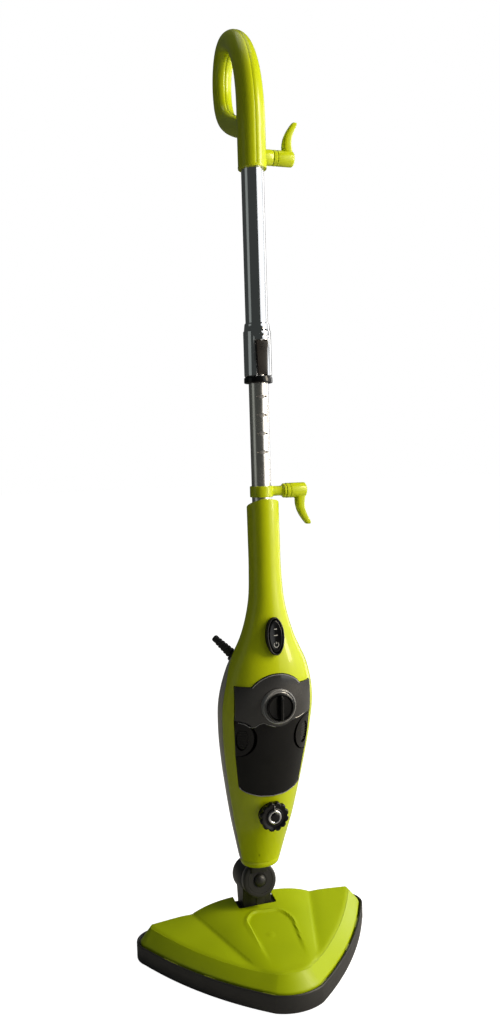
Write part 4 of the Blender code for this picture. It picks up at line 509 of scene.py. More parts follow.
def coverField(s, inner):  # a fine grid kept inside the crest line
    bm = bmesh.new()
    crest = [bm.verts.new((p.x, p.y, 0)) for p in inner]
    for j in range(len(crest)):
        bm.edges.new((crest[j], crest[(j + 1) % len(crest)]))
    bmesh.ops.triangle_fill(bm, use_beauty=True, edges=bm.edges)
    for axis, low, high in ((side, -s["fieldReach"], s["fieldReach"]),
                            (-forward, s["fieldNose"], s["coverBack"])):
        at = low
        while at < high:
            slicePlane(bm, axis * at, axis)
            at += s["fieldStep"]
    # both crease lines are cut into the field, so they stay crisp
    for sign in (-1, 1):
        run = Vector((sign * (s["creaseBackX"] - s["creaseNoseX"]), s["coverBack"] - s["creaseNoseY"]))
        slicePlane(bm, (sign * s["creaseNoseX"], s["creaseNoseY"], 0), (run.y, -run.x, 0))
    flat = [Vector((p.x, p.y)) for p in inner]
    for vert in bm.verts:
        x, y = vert.co.x, vert.co.y
        vert.co.z = coverHeight(x, y)
        edge = abs(outlineDistance(Vector((x, y)), flat))
        if edge < s["rollWide"] and y < s["coverBack"]:
            vert.co.z -= s["roll"] * (1 - edge / s["rollWide"]) ** 2
    field = bpy.data.meshes.new("headCoverTop")
    bm.to_mesh(field)
    bm.free()
    return field


def makeHeadCover():
    s = headSettings
    rim = s["skirtWall"] + s["rimGap"]
    back = s["coverBack"] + s["skirtWall"]
    top = rim + s["bevel"]
    outer = headPlan(rim, back, 3)
    inner = headPlan(top, min(back, s["back"] - top - 0.0005), 3)
    inner[0].y = inner[-1].y = back
    shell = coverSides(s, outer, inner)
    field = coverField(s, inner)
    joined = bmesh.new()
    joined.from_mesh(shell.data)
    joined.from_mesh(field)
    bmesh.ops.remove_doubles(joined, verts=joined.verts, dist=2e-5)
    bmesh.ops.recalc_face_normals(joined, faces=joined.faces)
    joined.to_mesh(shell.data)
    joined.free()
    bpy.data.meshes.remove(field)
    shell.name = "headCover"
    thick = shell.modifiers.new("wall", "SOLIDIFY")
    thick.thickness = s["wall"]
    thick.offset = -1
    graph = bpy.context.evaluated_depsgraph_get()
    shell.data = bpy.data.meshes.new_from_object(shell.evaluated_get(graph))
    shell.modifiers.clear()
    half, front, beyond = s["notchHalf"], s["notchFront"], 0.15
    notch = rounded([(-half, front), (half, front), (half, beyond), (-half, beyond)], 0.004, 5)
    carve(shell, column(notch, (0.015, 0.09), "notchCutter", "blackSatin"))
    dress(shell, "head", 24, ("head_cover",))


def makeSkirt():
    s = headSettings
    wall, low, top = s["skirtWall"], s["skirtBottom"], s["skirtTop"]
    section = [(0.0011, low), (0.0003, low + 0.0004), (0.0, low + 0.0012), (0.0, top - 0.0016),
               (0.0002, top - 0.0006), (0.0008, top), (wall - 0.0006, top), (wall, top - 0.0006),
               (wall, low + 0.0035), (0.0057, low + 0.0035), (0.0057, low)]
    rings = [[Vector((p.x, p.y, z)) for p in headPlan(inset, None, 3)] for inset, z in section]
    loft("bumperSkirt", rings, "skirtBlack", "head", closed=True, sharp=45, replaces=("bumper_skirt",))


def makeRimClips():  # in the gap between the cover and the skirt; painted a darker lime than the cover, as painted shade in the gap
    s = headSettings
    outside, inside = (headHalf(inset, None, 3) for inset in s["clipInsets"])
    low, high = s["clipFoot"], s["shoulder"] - 0.0022
    for sign, label in ((1, "right"), (-1, "left")):
        for number, (start, end) in enumerate(s["clips"], 1):
            rings = [[(sign * o.x, o.y, low), (sign * o.x, o.y, high), (sign * i.x, i.y, high + 0.0006),
                      (sign * i.x, i.y, low)] for o, i in zip(outside[start:end], inside[start:end])]
            loft(f"rimClip_{label}_{number}", rings, "limePaintedShade", "head")


makeHeadCover()
makeSkirt()
makeRimClips()
print("steam head made")


# swivel knuckle
knuckleSettings = {
    "centre": (0, 0.0770, 0.0903), "tilt": radians(13.0), "radius": 0.0225, "length": 0.0540,
    "disc": 0.0120, "endCap": 0.0028, "legHalf": 0.0195, "pitch": (0.0770, 0.0400), "eye": 0.0110,
    "pinHead": 0.0080, "pinRise": 0.0045, "neckHalf": 0.0110, "neckDepth": 0.0052, "lugHalf": 0.0055,
    "legSides": ((0.0150, 0.0600), (0.0180, 0.0820), (-0.0120, 0.0820), (-0.0118, 0.0600)), "neckTop": 0.1450,
}


def makeKnuckle():
    s = knuckleSettings
    centre = Vector(s["centre"])
    axis = Vector((0, -cos(s["tilt"]), sin(s["tilt"])))
    r, half = s["radius"], s["length"] / 2
    split = half - s["disc"]
    rear = [(0.0, -half + 0.0006), (r * 0.55, -half + 0.0006), (r * 0.58, -half), (r - 0.0022, -half),
            (r - 0.0010, -half + 0.0004), (r - 0.0002, -half + 0.0013), (r - 0.0002, -half + s["endCap"]),
            (r - 0.0008, -half + s["endCap"] + 0.0002), (r - 0.0008, -half + s["endCap"] + 0.0006),
            (r, -half + s["endCap"] + 0.0010), (r, split - 0.0014), (r - 0.0003, split - 0.0008),
            (r - 0.0012, split - 0.0005), (0.0, split - 0.0005)]
    turned("swivelBarrel", rear, "knuckleBlack", "knuckle", centre, axis, 80,
           replaces=("swivel_leg", "barrel_end_cap"))
    pitchY, leg = s["pitch"][0], s["legHalf"]
    outline = arcPoints(s["pitch"], (s["eye"], s["eye"]), pi, tau, 24)
    outline += [(pitchY + away, z) for away, z in s["legSides"]]
    sides = [[(x, y, z) for y, z in outline] for x in (-leg, leg)]
    softEdges(loft("swivelLeg", sides, "knuckleBlack", "knuckle"), 0.0011)
    front = [(0.0, split), (r - 0.0012, split), (r - 0.0003, split + 0.0004), (r, split + 0.0012),
             (r, half - 0.0016), (r - 0.0003, half - 0.0007), (r - 0.0012, half - 0.0002), (r - 0.0026, half),
             (r - 0.0050, half), (r - 0.0053, half - 0.0003), (r - 0.0059, half - 0.0003), (r - 0.0062, half),
             (s["pinHead"] + 0.0010, half), (s["pinHead"] + 0.0006, half - 0.0006), (0.0, half - 0.0006)]
    turned("swivelDisc", front, "knuckleBlack", "steam_unit", centre, axis, 80,
           replaces=("swivel_disc", "roll_pin"))
    dome = [(0.0, half - 0.0006), (s["pinHead"], half - 0.0006), (s["pinHead"], half + 0.0005)]
    dome += arcPoints((0, half + 0.0003), (s["pinHead"], s["pinRise"]), 0, pi / 2, 8)[1:]
    turned("pinHead", dome, "knuckleBlack", "steam_unit", centre, axis, 48)
    # neck up into the casing and the stop lug below
    middle = centre + axis * (split + half) / 2
    y0, y1 = middle.y - s["neckDepth"], middle.y + s["neckDepth"] - 0.0004
    for name, w, low, high, a, b in (
            ("discNeck", s["neckHalf"], middle.z + r * 0.5, s["neckTop"], y0, y1),
            ("discLug", s["lugHalf"], middle.z - r - 0.0090, middle.z - r * 0.6, y0, middle.y - 0.0003)):
        ring = rounded([(-w, a), (w, a), (w, b), (-w, b)], 0.0012, 4)
        softEdges(column(ring, (low, high), name, "knuckleBlack", "steam_unit"), 0.0008)


makeKnuckle()
print("knuckle made")


# casing of the steam unit
casingSettings = {
    # height, half width, half depth, y of the middle
    "stations": ((0.1220, 0.0238, 0.0205, 0.0490), (0.1350, 0.0278, 0.0232, 0.0482),
                 (0.1600, 0.0334, 0.0288, 0.0445), (0.1920, 0.0404, 0.0360, 0.0385),
                 (0.2330, 0.0478, 0.0405, 0.0315), (0.2750, 0.0545, 0.0435, 0.0240),
                 (0.3160, 0.0592, 0.0455, 0.0158), (0.3560, 0.0600, 0.0445, 0.0070),
                 (0.3960, 0.0515, 0.0370, -0.0005), (0.4360, 0.0335, 0.0258, -0.0052),
                 (0.4760, 0.0228, 0.0215, -0.0055), (0.5150, 0.0199, 0.0197, -0.0040),
                 (0.5550, 0.0196, 0.0196, -0.0035), (0.6100, 0.0196, 0.0196, -0.0025)),
    "bottom": 0.1225, "collarTop": 0.1320, "wall": 0.0024,
    "parting": 0.2, "neckParting": -0.5, "partingFrom": 0.375, "partingOver": 0.075, "partingGap": 0.0006,
    "neckTop": 0.5940, "neckSlope": radians(22.0), "socket": 0.0240, "bore": 0.0121,
    "screws": ((-0.018, 0.190), (0.018, 0.190), (-0.036, 0.345), (0.036, 0.345), (0.0, 0.480)),
    "screwHead": 0.0032, "dot": (-0.009, 0.1445), "dotRadius": 0.0011, "dotDepth": 0.0012,
    "lipRadius": 0.0158, "lipY": -0.0028, "lipHalf": (0.0036, 0.0007),
    # height above the collar's foot or below its top, and how far in from the casing's side
    "collarFoot": ((0.0, 0.0040), (0.0003, 0.0024), (0.0011, 0.0010), (0.0024, 0.0002), (0.0040, 0.0)),
    "collarHead": ((0.0010, 0.0), (0.0003, 0.0003), (0.0, 0.0009)),
}


def casingAt(z):
    stations = casingSettings["stations"]
    i = 0
    while i < len(stations) - 2 and z > stations[i + 1][0]:
        i += 1
    low, high = stations[i], stations[i + 1]
    before, beyond = stations[max(i - 1, 0)], stations[min(i + 2, len(stations) - 1)]
    span = high[0] - low[0]
    t = min(1.0, max(0.0, (z - low[0]) / span))
    values = []
    for k in (1, 2, 3):
        a = (high[k] - before[k]) / (high[0] - before[0]) * span
        b = (beyond[k] - low[k]) / (beyond[0] - low[0]) * span
        values.append((2 * t ** 3 - 3 * t * t + 1) * low[k] + (t ** 3 - 2 * t * t + t) * a
                      + (3 * t * t - 2 * t ** 3) * high[k] + (t ** 3 - t * t) * b)
    return values


def onCasing(x, z, proud=0.0):  # the place on its front over (x, z)
    a, b, y = casingAt(z)
    share = min(1.0, abs(x) / (a + proud))
    return Vector((x, y - (b + proud) * sqrt(1 - share * share), z))


def casingRing(z, grow=0.0, count=96):
    a, b, y = casingAt(z)
    angles = [tau * k / count for k in range(count)]
    return [((a + grow) * sin(t), y - (b + grow) * cos(t), z) for t in angles]


def casingBlank(name, proud, low, high):
    steps = round((high - low) / 0.005)
    rings = [casingRing(low + (high - low) * i / steps, proud) for i in range(steps + 1)]
    return loft(name, rings, "blackSatin")


def shellRing(z, front, bore):
    s = casingSettings
    a, b, y = casingAt(z)
    over = ease((z - s["partingFrom"]) / s["partingOver"])
    parting = s["parting"] + (s["neckParting"] - s["parting"]) * over
    seam = y - parting * b + (-s["partingGap"] if front else s["partingGap"]) / 2
    count = 49
    ring = []
    inner = (bore, bore, 0.0) if bore else (a - s["wall"], b - s["wall"], y)
    for halfX, halfY, middle in ((a, b, y), inner):
        limit = acos((middle - seam) / halfY)
        start, end = (-limit, limit) if front else (limit, tau - limit)
        angles = [start + (end - start) * i / (count - 1) for i in range(count)]
        arc = [(halfX * sin(t), middle - halfY * cos(t), z) for t in angles]
        ring += arc if not ring else arc[::-1]
    if not bore:
        # the outer arc's ends roll over into the seam
        for index in (0, count - 1):
            x = ring[index][0]
            ring[index] = (x * (1 - 0.0006 / abs(x)), *ring[index][1:])
    return ring


def makeShell(name, front, finish):
    s = casingSettings
    low, high = s["collarTop"] + 0.0003, s["neckTop"] - s["socket"] - 0.0100
    steps = 84
    rings = [shellRing(low + (high - low) * i / steps, front, 0.0) for i in range(steps + 1)]
    rings += [shellRing(s["neckTop"] + rise, front, s["bore"]) for rise in (-s["socket"], -0.010, 0, 0.012)]
    shell = loft(name, rings, finish)
    slope, wide, above = tan(s["neckSlope"]), 0.05, 0.66
    corners = ((-wide, -wide), (wide, -wide), (wide, wide), (-wide, wide))
    base = [(x, y, s["neckTop"] - slope * y) for x, y in corners]
    carve(shell, loft("neckCutter", [base, [(x, y, above) for x, y in corners]], "blackSatin"))
    return shell


# the pieces set into the casing; its openings use their places too
switchSettings = {
    "centre": (0, -0.0315, 0.4385), "tilt": radians(7.0), "half": (0.0115, 0.0232), "hole": (0.0108, 0.0225),
    "rockerInset": (0.0030, 0.0037), "markDepth": 0.0059,
}
switchSettings["axis"] = (0, -cos(switchSettings["tilt"]), sin(switchSettings["tilt"]))
dialSettings = {
    "z": 0.2080, "front": 0.0165, "back": 0.0092, "radius": 0.0190, "flutes": 12, "deep": 0.0021,
    "hole": 0.0163, "holeY": 0.004,
}
cordSettings = {
    "centre": (-0.0375, 0.0080, 0.4080), "axis": (-0.60, 0.46, 0.655), "hole": 0.0088,
    "ribFrom": 0.0080, "ribTo": 0.0310, "ribs": 5, "thick": 0.0063, "taper": 0.0017,
}
tankSettings = {
    "capZ": 0.3550, "crown": 0.0390, "half": 0.0486, "waistZ": 0.3350, "footHalf": 0.0385, "bottom": 0.2335,
    "earZ": 0.3790, "proud": 0.0015, "waveZ": 0.3330,
    "latchZ": 0.3120, "latchHalf": 0.0235, "latchReach": 0.0185, "latchGap": 0.0007, "latchTravel": 0.0030,
    "fillerHole": 0.0212, "edgeTop": 0.2520, "crestFrom": 0.018, "crestHalf": 0.033,
    "crestShare": (0.975, 0.972),
}


def tankOutline(grow=0.0):
    s = tankSettings
    crown, ear = s["crown"] + grow, s["earZ"] + grow
    meet = acos((ear - s["capZ"]) / crown)
    right = [(crown * sin(meet * i / 20), s["capZ"] + crown * cos(meet * i / 20)) for i in range(21)]
    half, foot, bottom = s["half"] + grow, s["footHalf"] + grow, s["bottom"] - grow
    corners = [(half - 0.0002, ear, 0.0016), (half, s["waistZ"], 0.020),
               (half - 0.0035, s["latchZ"] - 0.022, 0.030), (foot + 0.0004, bottom + 0.0100, 0.0060),
               (foot - 0.0075, bottom + 0.0052, 0.020),
               (foot * 0.45, bottom + 0.0012, 0.030), (0.0, bottom, 0.0)]
    run = rounded([right[-1]] + corners, 0.002, 5)
    right += [(p.x, p.y) for p in run[6:]]
    left = [(-x, z) for x, z in reversed(right[1:-1])]
    return right + left


def makeCasing():
    s, d, c = casingSettings, dialSettings, cordSettings
    front = makeShell("frontShell", True, "limeGloss")
    carve(front, prism("windowCutter", tankOutline(0.0005), -0.09, 0.02))
    place = axisFrame(switchSettings["centre"], switchSettings["axis"])
    carve(front, prism("switchCutter", ovalOutline(*switchSettings["hole"]), -0.02, 0.02, place=place))
    for name, r, low, high, centre, count in (
            ("dialCutter", d["hole"], -0.01, 0.03, (0, d["holeY"], d["z"]), 64),
            ("dotCutter", s["dotRadius"], -s["dotDepth"], 0.003, onCasing(*s["dot"]), 24)):
        carve(front, turned(name, [(0, low), (r, low), (r, high), (0, high)], "blackSatin", centre=centre,
                            axis=forward, segments=count))
    dress(front, "steam_unit", 32, ("front_shell",))
    rear = makeShell("rearShell", False, "warmGreyGloss")
    gland = axisFrame(c["centre"], c["axis"])
    carve(rear, prism("glandCutter", ovalOutline(c["hole"], c["hole"]), -0.02, 0.03, place=gland))
    r, reach = s["screwHead"], 0.02
    for x, z in s["screws"]:
        a, b, y = casingAt(z)
        at = (x, y + b * sqrt(1 - (x / a) ** 2) - 0.0008, z)
        carve(rear, turned("screwCutter", [(0, -reach), (r, -reach), (r, reach), (0, reach)], "blackSatin",
                           centre=at, axis=-forward, segments=32))
    dress(rear, "steam_unit", 32, ("rear_shell",))
    # rounded lip round the sloping neck rim
    radius, lipY, (wide, high) = s["lipRadius"], s["lipY"], s["lipHalf"]
    slope = tan(s["neckSlope"])
    rings = []
    for i in range(96):
        a = tau * i / 96
        x, y = radius * sin(a), lipY - radius * cos(a)
        p = Vector((x, y, s["neckTop"] - slope * y - 0.0003))
        outward = Vector((p.x, p.y - lipY, 0)).normalized()
        rings.append([p + outward * (wide * cos(w))
                      + Vector((0, 0, high * sin(w) - slope * wide * cos(w) * outward.y))
                      for w in [tau * k / 10 for k in range(10)]])
    loft("neckRimLip", rings, "limeGloss", "steam_unit", closed=True)
    rings = [casingRing(s["bottom"] + rise, -inset) for rise, inset in s["collarFoot"]]
    rings += [casingRing(s["collarTop"] - drop, -inset) for drop, inset in s["collarHead"]]
    loft("bottomCollar", rings, "limeGloss", "steam_unit", replaces=("bottom_collar",))


makeCasing()
print("casing made")


# water tank with its cap and latches
def faceOf(name, outline, proud, back, finish):  # its front follows the casing's form
    blank = prism(name, outline, -0.09, back, finish)
    return boolean(blank, casingBlank(name + "Skin", proud, 0.20, 0.42), "INTERSECT")


def waveLine():  # parts the clear crown from the deep lower part
    z, half = tankSettings["waveZ"], tankSettings["half"]
    points = ((-half - 0.004, 0.0020), (-0.0400, 0.0005), (-0.0330, -0.0035), (-0.0270, -0.0038),
              (-0.0225, -0.0005), (-0.0170, 0.0012), (-0.0100, -0.0020), (0.0, -0.0050), (0.0120, -0.0030),
              (0.0210, 0.0015), (0.0300, 0.0030), (0.0400, 0.0060), (half + 0.004, 0.0080))
    return pairs(through([(x, z + rise) for x, rise in points], 5))


def clipAbove(outline, line, above):  # the part of an outline on one side of a left-to-right line
    def over(x, z):
        for (x0, z0), (x1, z1) in zip(line, line[1:]):
            if x0 <= x <= x1:
                return z - (z0 + (z1 - z0) * (x - x0) / (x1 - x0))
        return z - (line[0][1] if x < line[0][0] else line[-1][1])
    sides = [(a, b, over(*a), over(*b)) for a, b in zip(outline, outline[1:] + outline[:1])]
    crossings = [a[0] + (b[0] - a[0]) * d / (d - e) for a, b, d, e in sides if (d >= 0) != (e >= 0)]
    kept = []
    for a, b, d, e in sides:
        if (d >= 0) == above:
            kept.append(a)
        if (d >= 0) != (e >= 0):
            t = d / (d - e)
            start = a[0] + (b[0] - a[0]) * t
            kept.append((start, a[1] + (b[1] - a[1]) * t))
            if (d >= 0) == above:
                # leaving the kept side: run along the line to where the outline comes back
                end = max(crossings, key=lambda x: abs(x - start))
                between = [p for p in line if min(start, end) < p[0] < max(start, end)]
                kept += between if end > start else between[::-1]
    return kept


def makeTank():
    s = tankSettings
    outline, wave, proud = tankOutline(0.0), waveLine(), s["proud"]
    upper = clipAbove(outline, wave, True)
    lower = clipAbove(outline, [(x, z - 0.0003) for x, z in wave], False)
    crown = faceOf("tankCrown", upper, proud, 0.005, "smokeClear")
    deep = faceOf("tankBody", lower, proud - 0.0003, 0.010, "smokeDeep")
    for sign in (-1, 1):
        for thing in (crown, deep):
            blank = prism("latchCutter", latchOutline(sign, s["latchGap"], s["latchTravel"]), -0.09, 0.012)
            boolean(blank, casingBlank("latchCutterFloor", proud - 0.0105, 0.27, 0.36), "DIFFERENCE")
            carve(thing, blank)
    r, long = s["fillerHole"], 0.06
    for thing, nodes in ((crown, ()), (deep, ("water_tank",))):
        carve(thing, turned("fillerCutter", [(0, 0.0), (r, 0.0), (r, long), (0, long)], "blackSatin",
                            centre=(0, -0.024, s["capZ"]), axis=forward))
        dress(thing, "tank", 34, nodes)
    # painted highlights in light grey: a bright edge along the bottom and a raised lip round the crown; beads
    # along the wave, the left one a painted highlight and the right one in the tank's clear smoke
    bottom = [p for p in (onCasing(x, z, proud - 0.0001) for x, z in outline) if p.z < s["edgeTop"]]
    bottom.sort(key=lambda p: atan2(p.z - 0.30, p.x))
    tube("tankBottomEdgeHighlight", bottom, 0.00055, "smokePaintedHighlight", "tank")
    shareX, shareZ = s["crestShare"]
    crest = [onCasing(x * shareX, s["capZ"] + (z - s["capZ"]) * shareZ, proud - 0.0001) for x, z in outline
             if z > s["capZ"] + s["crestFrom"] and abs(x) < s["crestHalf"]]
    crest.sort(key=lambda p: p.x)
    tube("tankCrownEdge", crest, 0.00045, "smokePaintedHighlight", "tank")
    beads = [onCasing(x, z - 0.0002, proud - 0.0003) for x, z in wave
             if abs(x) < s["half"] - 0.001 and Vector((x, z - s["capZ"])).length > 0.0215]
    # the left bead is a painted highlight, the right bead keeps the clear smoke
    tube("tankWaveLeft", [p for p in beads if p.x < 0], 0.00060, "smokePaintedHighlight", "tank")
    tube("tankWaveRight", [p for p in beads if p.x > 0], 0.00060, "smokeClear", "tank")


def latchOutline(sign, grow=0.0, travel=0.0):
    s = tankSettings
    tall, z = s["latchHalf"] + grow, s["latchZ"]
    reach = s["latchReach"] + grow + travel
    edge = s["half"] - 0.0008 + (0.02 if grow else 0)
    points = [(edge, z + tall), *arcPoints((s["half"] - 0.0030, z), (reach, tall), pi / 2, pi * 1.5, 32),
              (edge, z - tall)]
    points = [(sign * x, z) for x, z in points]
    return points if sign > 0 else points[::-1]


def makeLatches():
    s = tankSettings
    half, z, proud = s["half"], s["latchZ"], s["proud"]
    for sign, label in ((-1, "left"), (1, "right")):
        pad = prism(f"latchPad_{label}", latchOutline(sign), -0.09, 0.0, "blackGloss")
        boolean(pad, casingBlank("padSkin", proud - 0.0004, 0.27, 0.36), "INTERSECT")
        boolean(pad, casingBlank("padBack", proud - 0.0060, 0.27, 0.36), "DIFFERENCE")
        boolean(pad, prism("padSides", tankOutline(0.0004), -0.09, 0.012), "INTERSECT")
        # finger hollow, deepest near the tank's side
        hollow = arcPoints((half - 0.0085, z), (0.0065, 0.0150), 0, tau, 40)[:-1]
        cutter = prism("hollowCutter", [(sign * x, z) for x, z in hollow], -0.09, 0.0)
        boolean(cutter, casingBlank("hollowFloor", proud - 0.0022, 0.27, 0.36), "DIFFERENCE")
        carve(pad, cutter)
        dress(pad, f"{label}_latch", 34, (f"latch_{label}",))
        for i in range(7):
            run = [onCasing(sign * (half - inset), z - 0.0105 + 0.0035 * i, proud - 0.0023)
                   for inset in (0.0128, 0.0100, 0.0070, 0.0042)]
            tube(f"latchRib_{label}_{i + 1}", run, 0.00055, "blackSatin", f"{label}_latch")


# radius and distance forward; the fin's rows are its y, half width and half height
capSettings = {
    "ring": ((0.0140, 0.024), (0.0210, 0.024), (0.0210, 0.0440), (0.0207, 0.0446), (0.0201, 0.0450),
             (0.0196, 0.0449), (0.0191, 0.0444), (0.0184, 0.0441), (0.0178, 0.0444), (0.0175, 0.0449),
             (0.0140, 0.0449)),
    "cap": ((0, 0.0338), (0.0120, 0.0338), (0.0120, 0.0454), (0.0168, 0.0454), (0.0172, 0.0458),
            (0.0172, 0.0478), (0.0170, 0.0486), (0.0164, 0.0490), (0.0156, 0.0490), (0.0150, 0.0484),
            (0.0140, 0.0472), (0.0060, 0.0466), (0, 0.0466)),
    "fin": ((-0.0462, 0.0028, 0.0152), (-0.0500, 0.0025, 0.0150), (-0.0535, 0.0020, 0.0142),
            (-0.0548, 0.0013, 0.0136), (-0.0553, 0.0005, 0.0128)),
}


def makeCap():
    s, z = capSettings, tankSettings["capZ"]
    centre = (0, 0, z)
    # the filler ring is painted light grey, a painted highlight on the smoked ring
    turned("fillerRing", s["ring"], "smokePaintedHighlight", "tank", centre, forward, 80, replaces=("filler_collar",))
    turned("tankCap", s["cap"], "blackGloss", "cap", centre, forward, 80, replaces=("tank_cap",))
    fin = [[(x, y, z + dz) for x, dz in ovalOutline(w, h, 40, 3.2)] for y, w, h in s["fin"]]
    loft("capFin", fin, "blackGloss", "cap")


makeTank()
makeLatches()
makeCap()
print("tank made")


# switch, dial and cord outlet
def makeSwitch():
    s = switchSettings
    place = axisFrame(s["centre"], s["axis"])

    def rings(rows):
        return [[place @ Vector((x, y, depth)) for x, y in ovalOutline(w, h, 80)] for w, h, depth in rows]
    w, h = s["half"]
    bezel = ((0.0012, -0.0080), (0.0012, 0.0010), (0.0004, 0.0012), (0.0002, 0.0046), (0.0004, 0.0057),
             (0.0009, 0.0063), (0.0015, 0.0065), (0.0021, 0.0063), (0.0025, 0.0057), (0.0025, -0.0060))
    loft("switchBezel", rings([(w - inset, h - inset, depth) for inset, depth in bezel]), "blackSatin",
         "steam_unit", closed=True, replaces=("switch_bezel",))
    w, h = w - s["rockerInset"][0], h - s["rockerInset"][1]
    rocker = ((0.80, -0.0034), (1.0, 0.0), (1.0, 0.0046), (0.985, 0.0054), (0.95, 0.0060), (0.90, 0.0062),
              (0.82, 0.0061), (0.60, 0.0056), (0.30, 0.0052), (0.06, 0.0051))
    loft("powerRocker", rings([(w * share, h * share, depth) for share, depth in rocker]), "blackGloss",
         "rocker", replaces=("power_switch",))
    # printed marks: two dashes and a power sign
    deep = s["markDepth"]
    for number, (y, half) in enumerate(((0.0085, 0.0018), (0.0010, 0.0025)), 1):
        run = [place @ Vector((x, y, deep + 0.9 * x * x)) for x in (-half, -half / 3, half / 3, half)]
        tube(f"dashMark_{number}", run, 0.00045, "markWhite", "rocker")
    ring = arcPoints((0, -0.0100), (0.0030, 0.0030), radians(130), radians(410), 24)
    for name, run in (("powerRingMark", ring), ("powerBarMark", ((0, -0.0090), (0, -0.0075), (0, -0.0062)))):
        tube(name, [place @ Vector((x, y, deep)) for x, y in run], 0.00038, "markWhite", "rocker")


def makeDial():
    s = dialSettings
    front, back, radius, z = s["front"], s["back"], s["radius"], s["z"]
    count = s["flutes"] * 16
    # depth, share of the radius and share of the flutes' depth
    rows = [(back, 0.955, 1.0), (back + 0.0004, 0.985, 1.0), (back + 0.0012, 1.0, 1.0)]
    rows += [(front - drop, share, flute) for drop, share, flute in (
        (0.0026, 1.0, 1.0), (0.0014, 0.985, 1.0), (0.0006, 0.955, 0.9), (0.0001, 0.915, 0.7),
        (0.0, 0.875, 0.4), (0.0004, 0.80, 0.1), (0.0014, 0.68, 0.0), (0.0017, 0.61, 0.0), (0.0015, 0.55, 0.0),
        (0.0008, 0.520, 0.0), (0.0008, 0.486, 0.0), (0.0018, 0.480, 0.0))]
    rings = []
    for depth, share, flute in rows:
        ring = []
        for i in range(count):
            a = tau * i / count
            r = radius * share - s["deep"] * flute * (0.5 + 0.5 * cos(s["flutes"] * a)) ** 2
            ring.append((r * sin(a), -depth, z + r * cos(a)))
        rings.append(ring)
    loft("steamDial", rings, "blackGloss", "dial", sharp=50, replaces=("steam_dial",))
    base = front - 0.0015
    disc = ((0, 0), (0.0089, 0), (0.0089, 0.0010), (0.0086, 0.0016), (0.0080, 0.0021), (0.0072, 0.0023),
            (0.0064, 0.0021), (0.0058, 0.0014), (0.0056, 0.0006), (0, 0.0006))
    middle = ((0, 0.0007), (0.0054, 0.0007), (0.0054, 0.0013), (0.0048, 0.0017), (0.0024, 0.0019),
              (0, 0.0019))
    for name, profile, finish, count, nodes in (("dialInsert", disc, "chromePlate", 64, ("dial_insert",)),
                                                ("dialCentre", middle, "blackGloss", 48, ())):
        turned(name, [(r, base + h) for r, h in profile], finish, "dial", (0, 0, z), forward, count,
               replaces=nodes)
    run = ((0.0002, 0.0085), (-0.00005, 0.0110), (0.0002, 0.0145))
    tube("dialPointer", [(0, -front + sunk, z + rise) for sunk, rise in run], 0.00042, "markWhite", "dial")


def makeCordOutlet():
    s = cordSettings
    centre, axis = s["centre"], s["axis"]
    gland = [(0.0055, -0.0068), (0.0085, -0.0068), (0.0085, 0.0044), (0.0083, 0.0054), (0.0077, 0.0061),
             (0.0070, 0.0064), (0.0061, 0.0064), (0.0056, 0.0060)]
    turned("cordGland", gland, "blackSatin", "steam_unit", centre, axis, 48, replaces=("cord_gland",))
    profile = [(0, -0.0058), (0.0051, -0.0058), (0.0051, 0.0070)]
    end, ribs = s["ribTo"], s["ribs"]
    step = (end - s["ribFrom"]) / ribs
    for i in range(ribs):
        h = s["ribFrom"] + step * i
        r = s["thick"] - s["taper"] * i / ribs
        profile += [(r - inset, h + step * share) for inset, share in (
            (0.0002, 0), (0, 0.12), (0, 0.50), (0.0002, 0.60), (0.0008, 0.68), (0.0008, 0.90))]
    profile += [(0.0043, end), (0.0044, end + 0.001), (0.0044, 0.0346), (0.0040, 0.0358), (0.0031, 0.0366),
                (0.0016, 0.03695), (0, 0.0370)]
    turned("cordBoot", profile, "softRubber", "steam_unit", centre, axis, 40, replaces=("cord_boot",))


makeSwitch()
makeDial()
makeCordOutlet()
print("controls made")


# pole: two tubes, lock ring, housing and button
poleSettings = {
    "lowerRadius": 0.0118, "wall": 0.0012, "lowerStart": 0.5020, "lowerEnd": 0.8600, "upperRadius": 0.0135,
    "holes": (0.7699, 0.7478, 0.7257, 0.7036, 0.6815, 0.6594), "holeHalf": (0.0066, 0.0022),
    "housingBottom": 0.7503, "housingTop": 0.8043, "coneTop": 0.8133, "housingRadius": 0.0167,
    "ringBottom": 0.7420, "ringTop": 0.7500, "ringRadius": 0.0172, "upperEnd": 1.0393, "inside": 0.0123,
    "leverLow": 0.7518, "leverTop": 0.7918, "leverHalf": 0.0076, "leverY": -0.0173,
    # height on the button, how far it dips, and share of its half width
    "leverRows": ((0.7650, -0.0001, 0.84), (0.7723, -0.0002, 0.87), (0.7830, -0.0006, 0.94),
                  (0.7878, -0.0010, 1.0), (0.7900, -0.0009, 0.99), (0.7913, -0.0005, 0.95)),
    "cowlHalf": 0.0100, "cowlDepth": 0.0060, "cowlHigh": 0.0075,
}


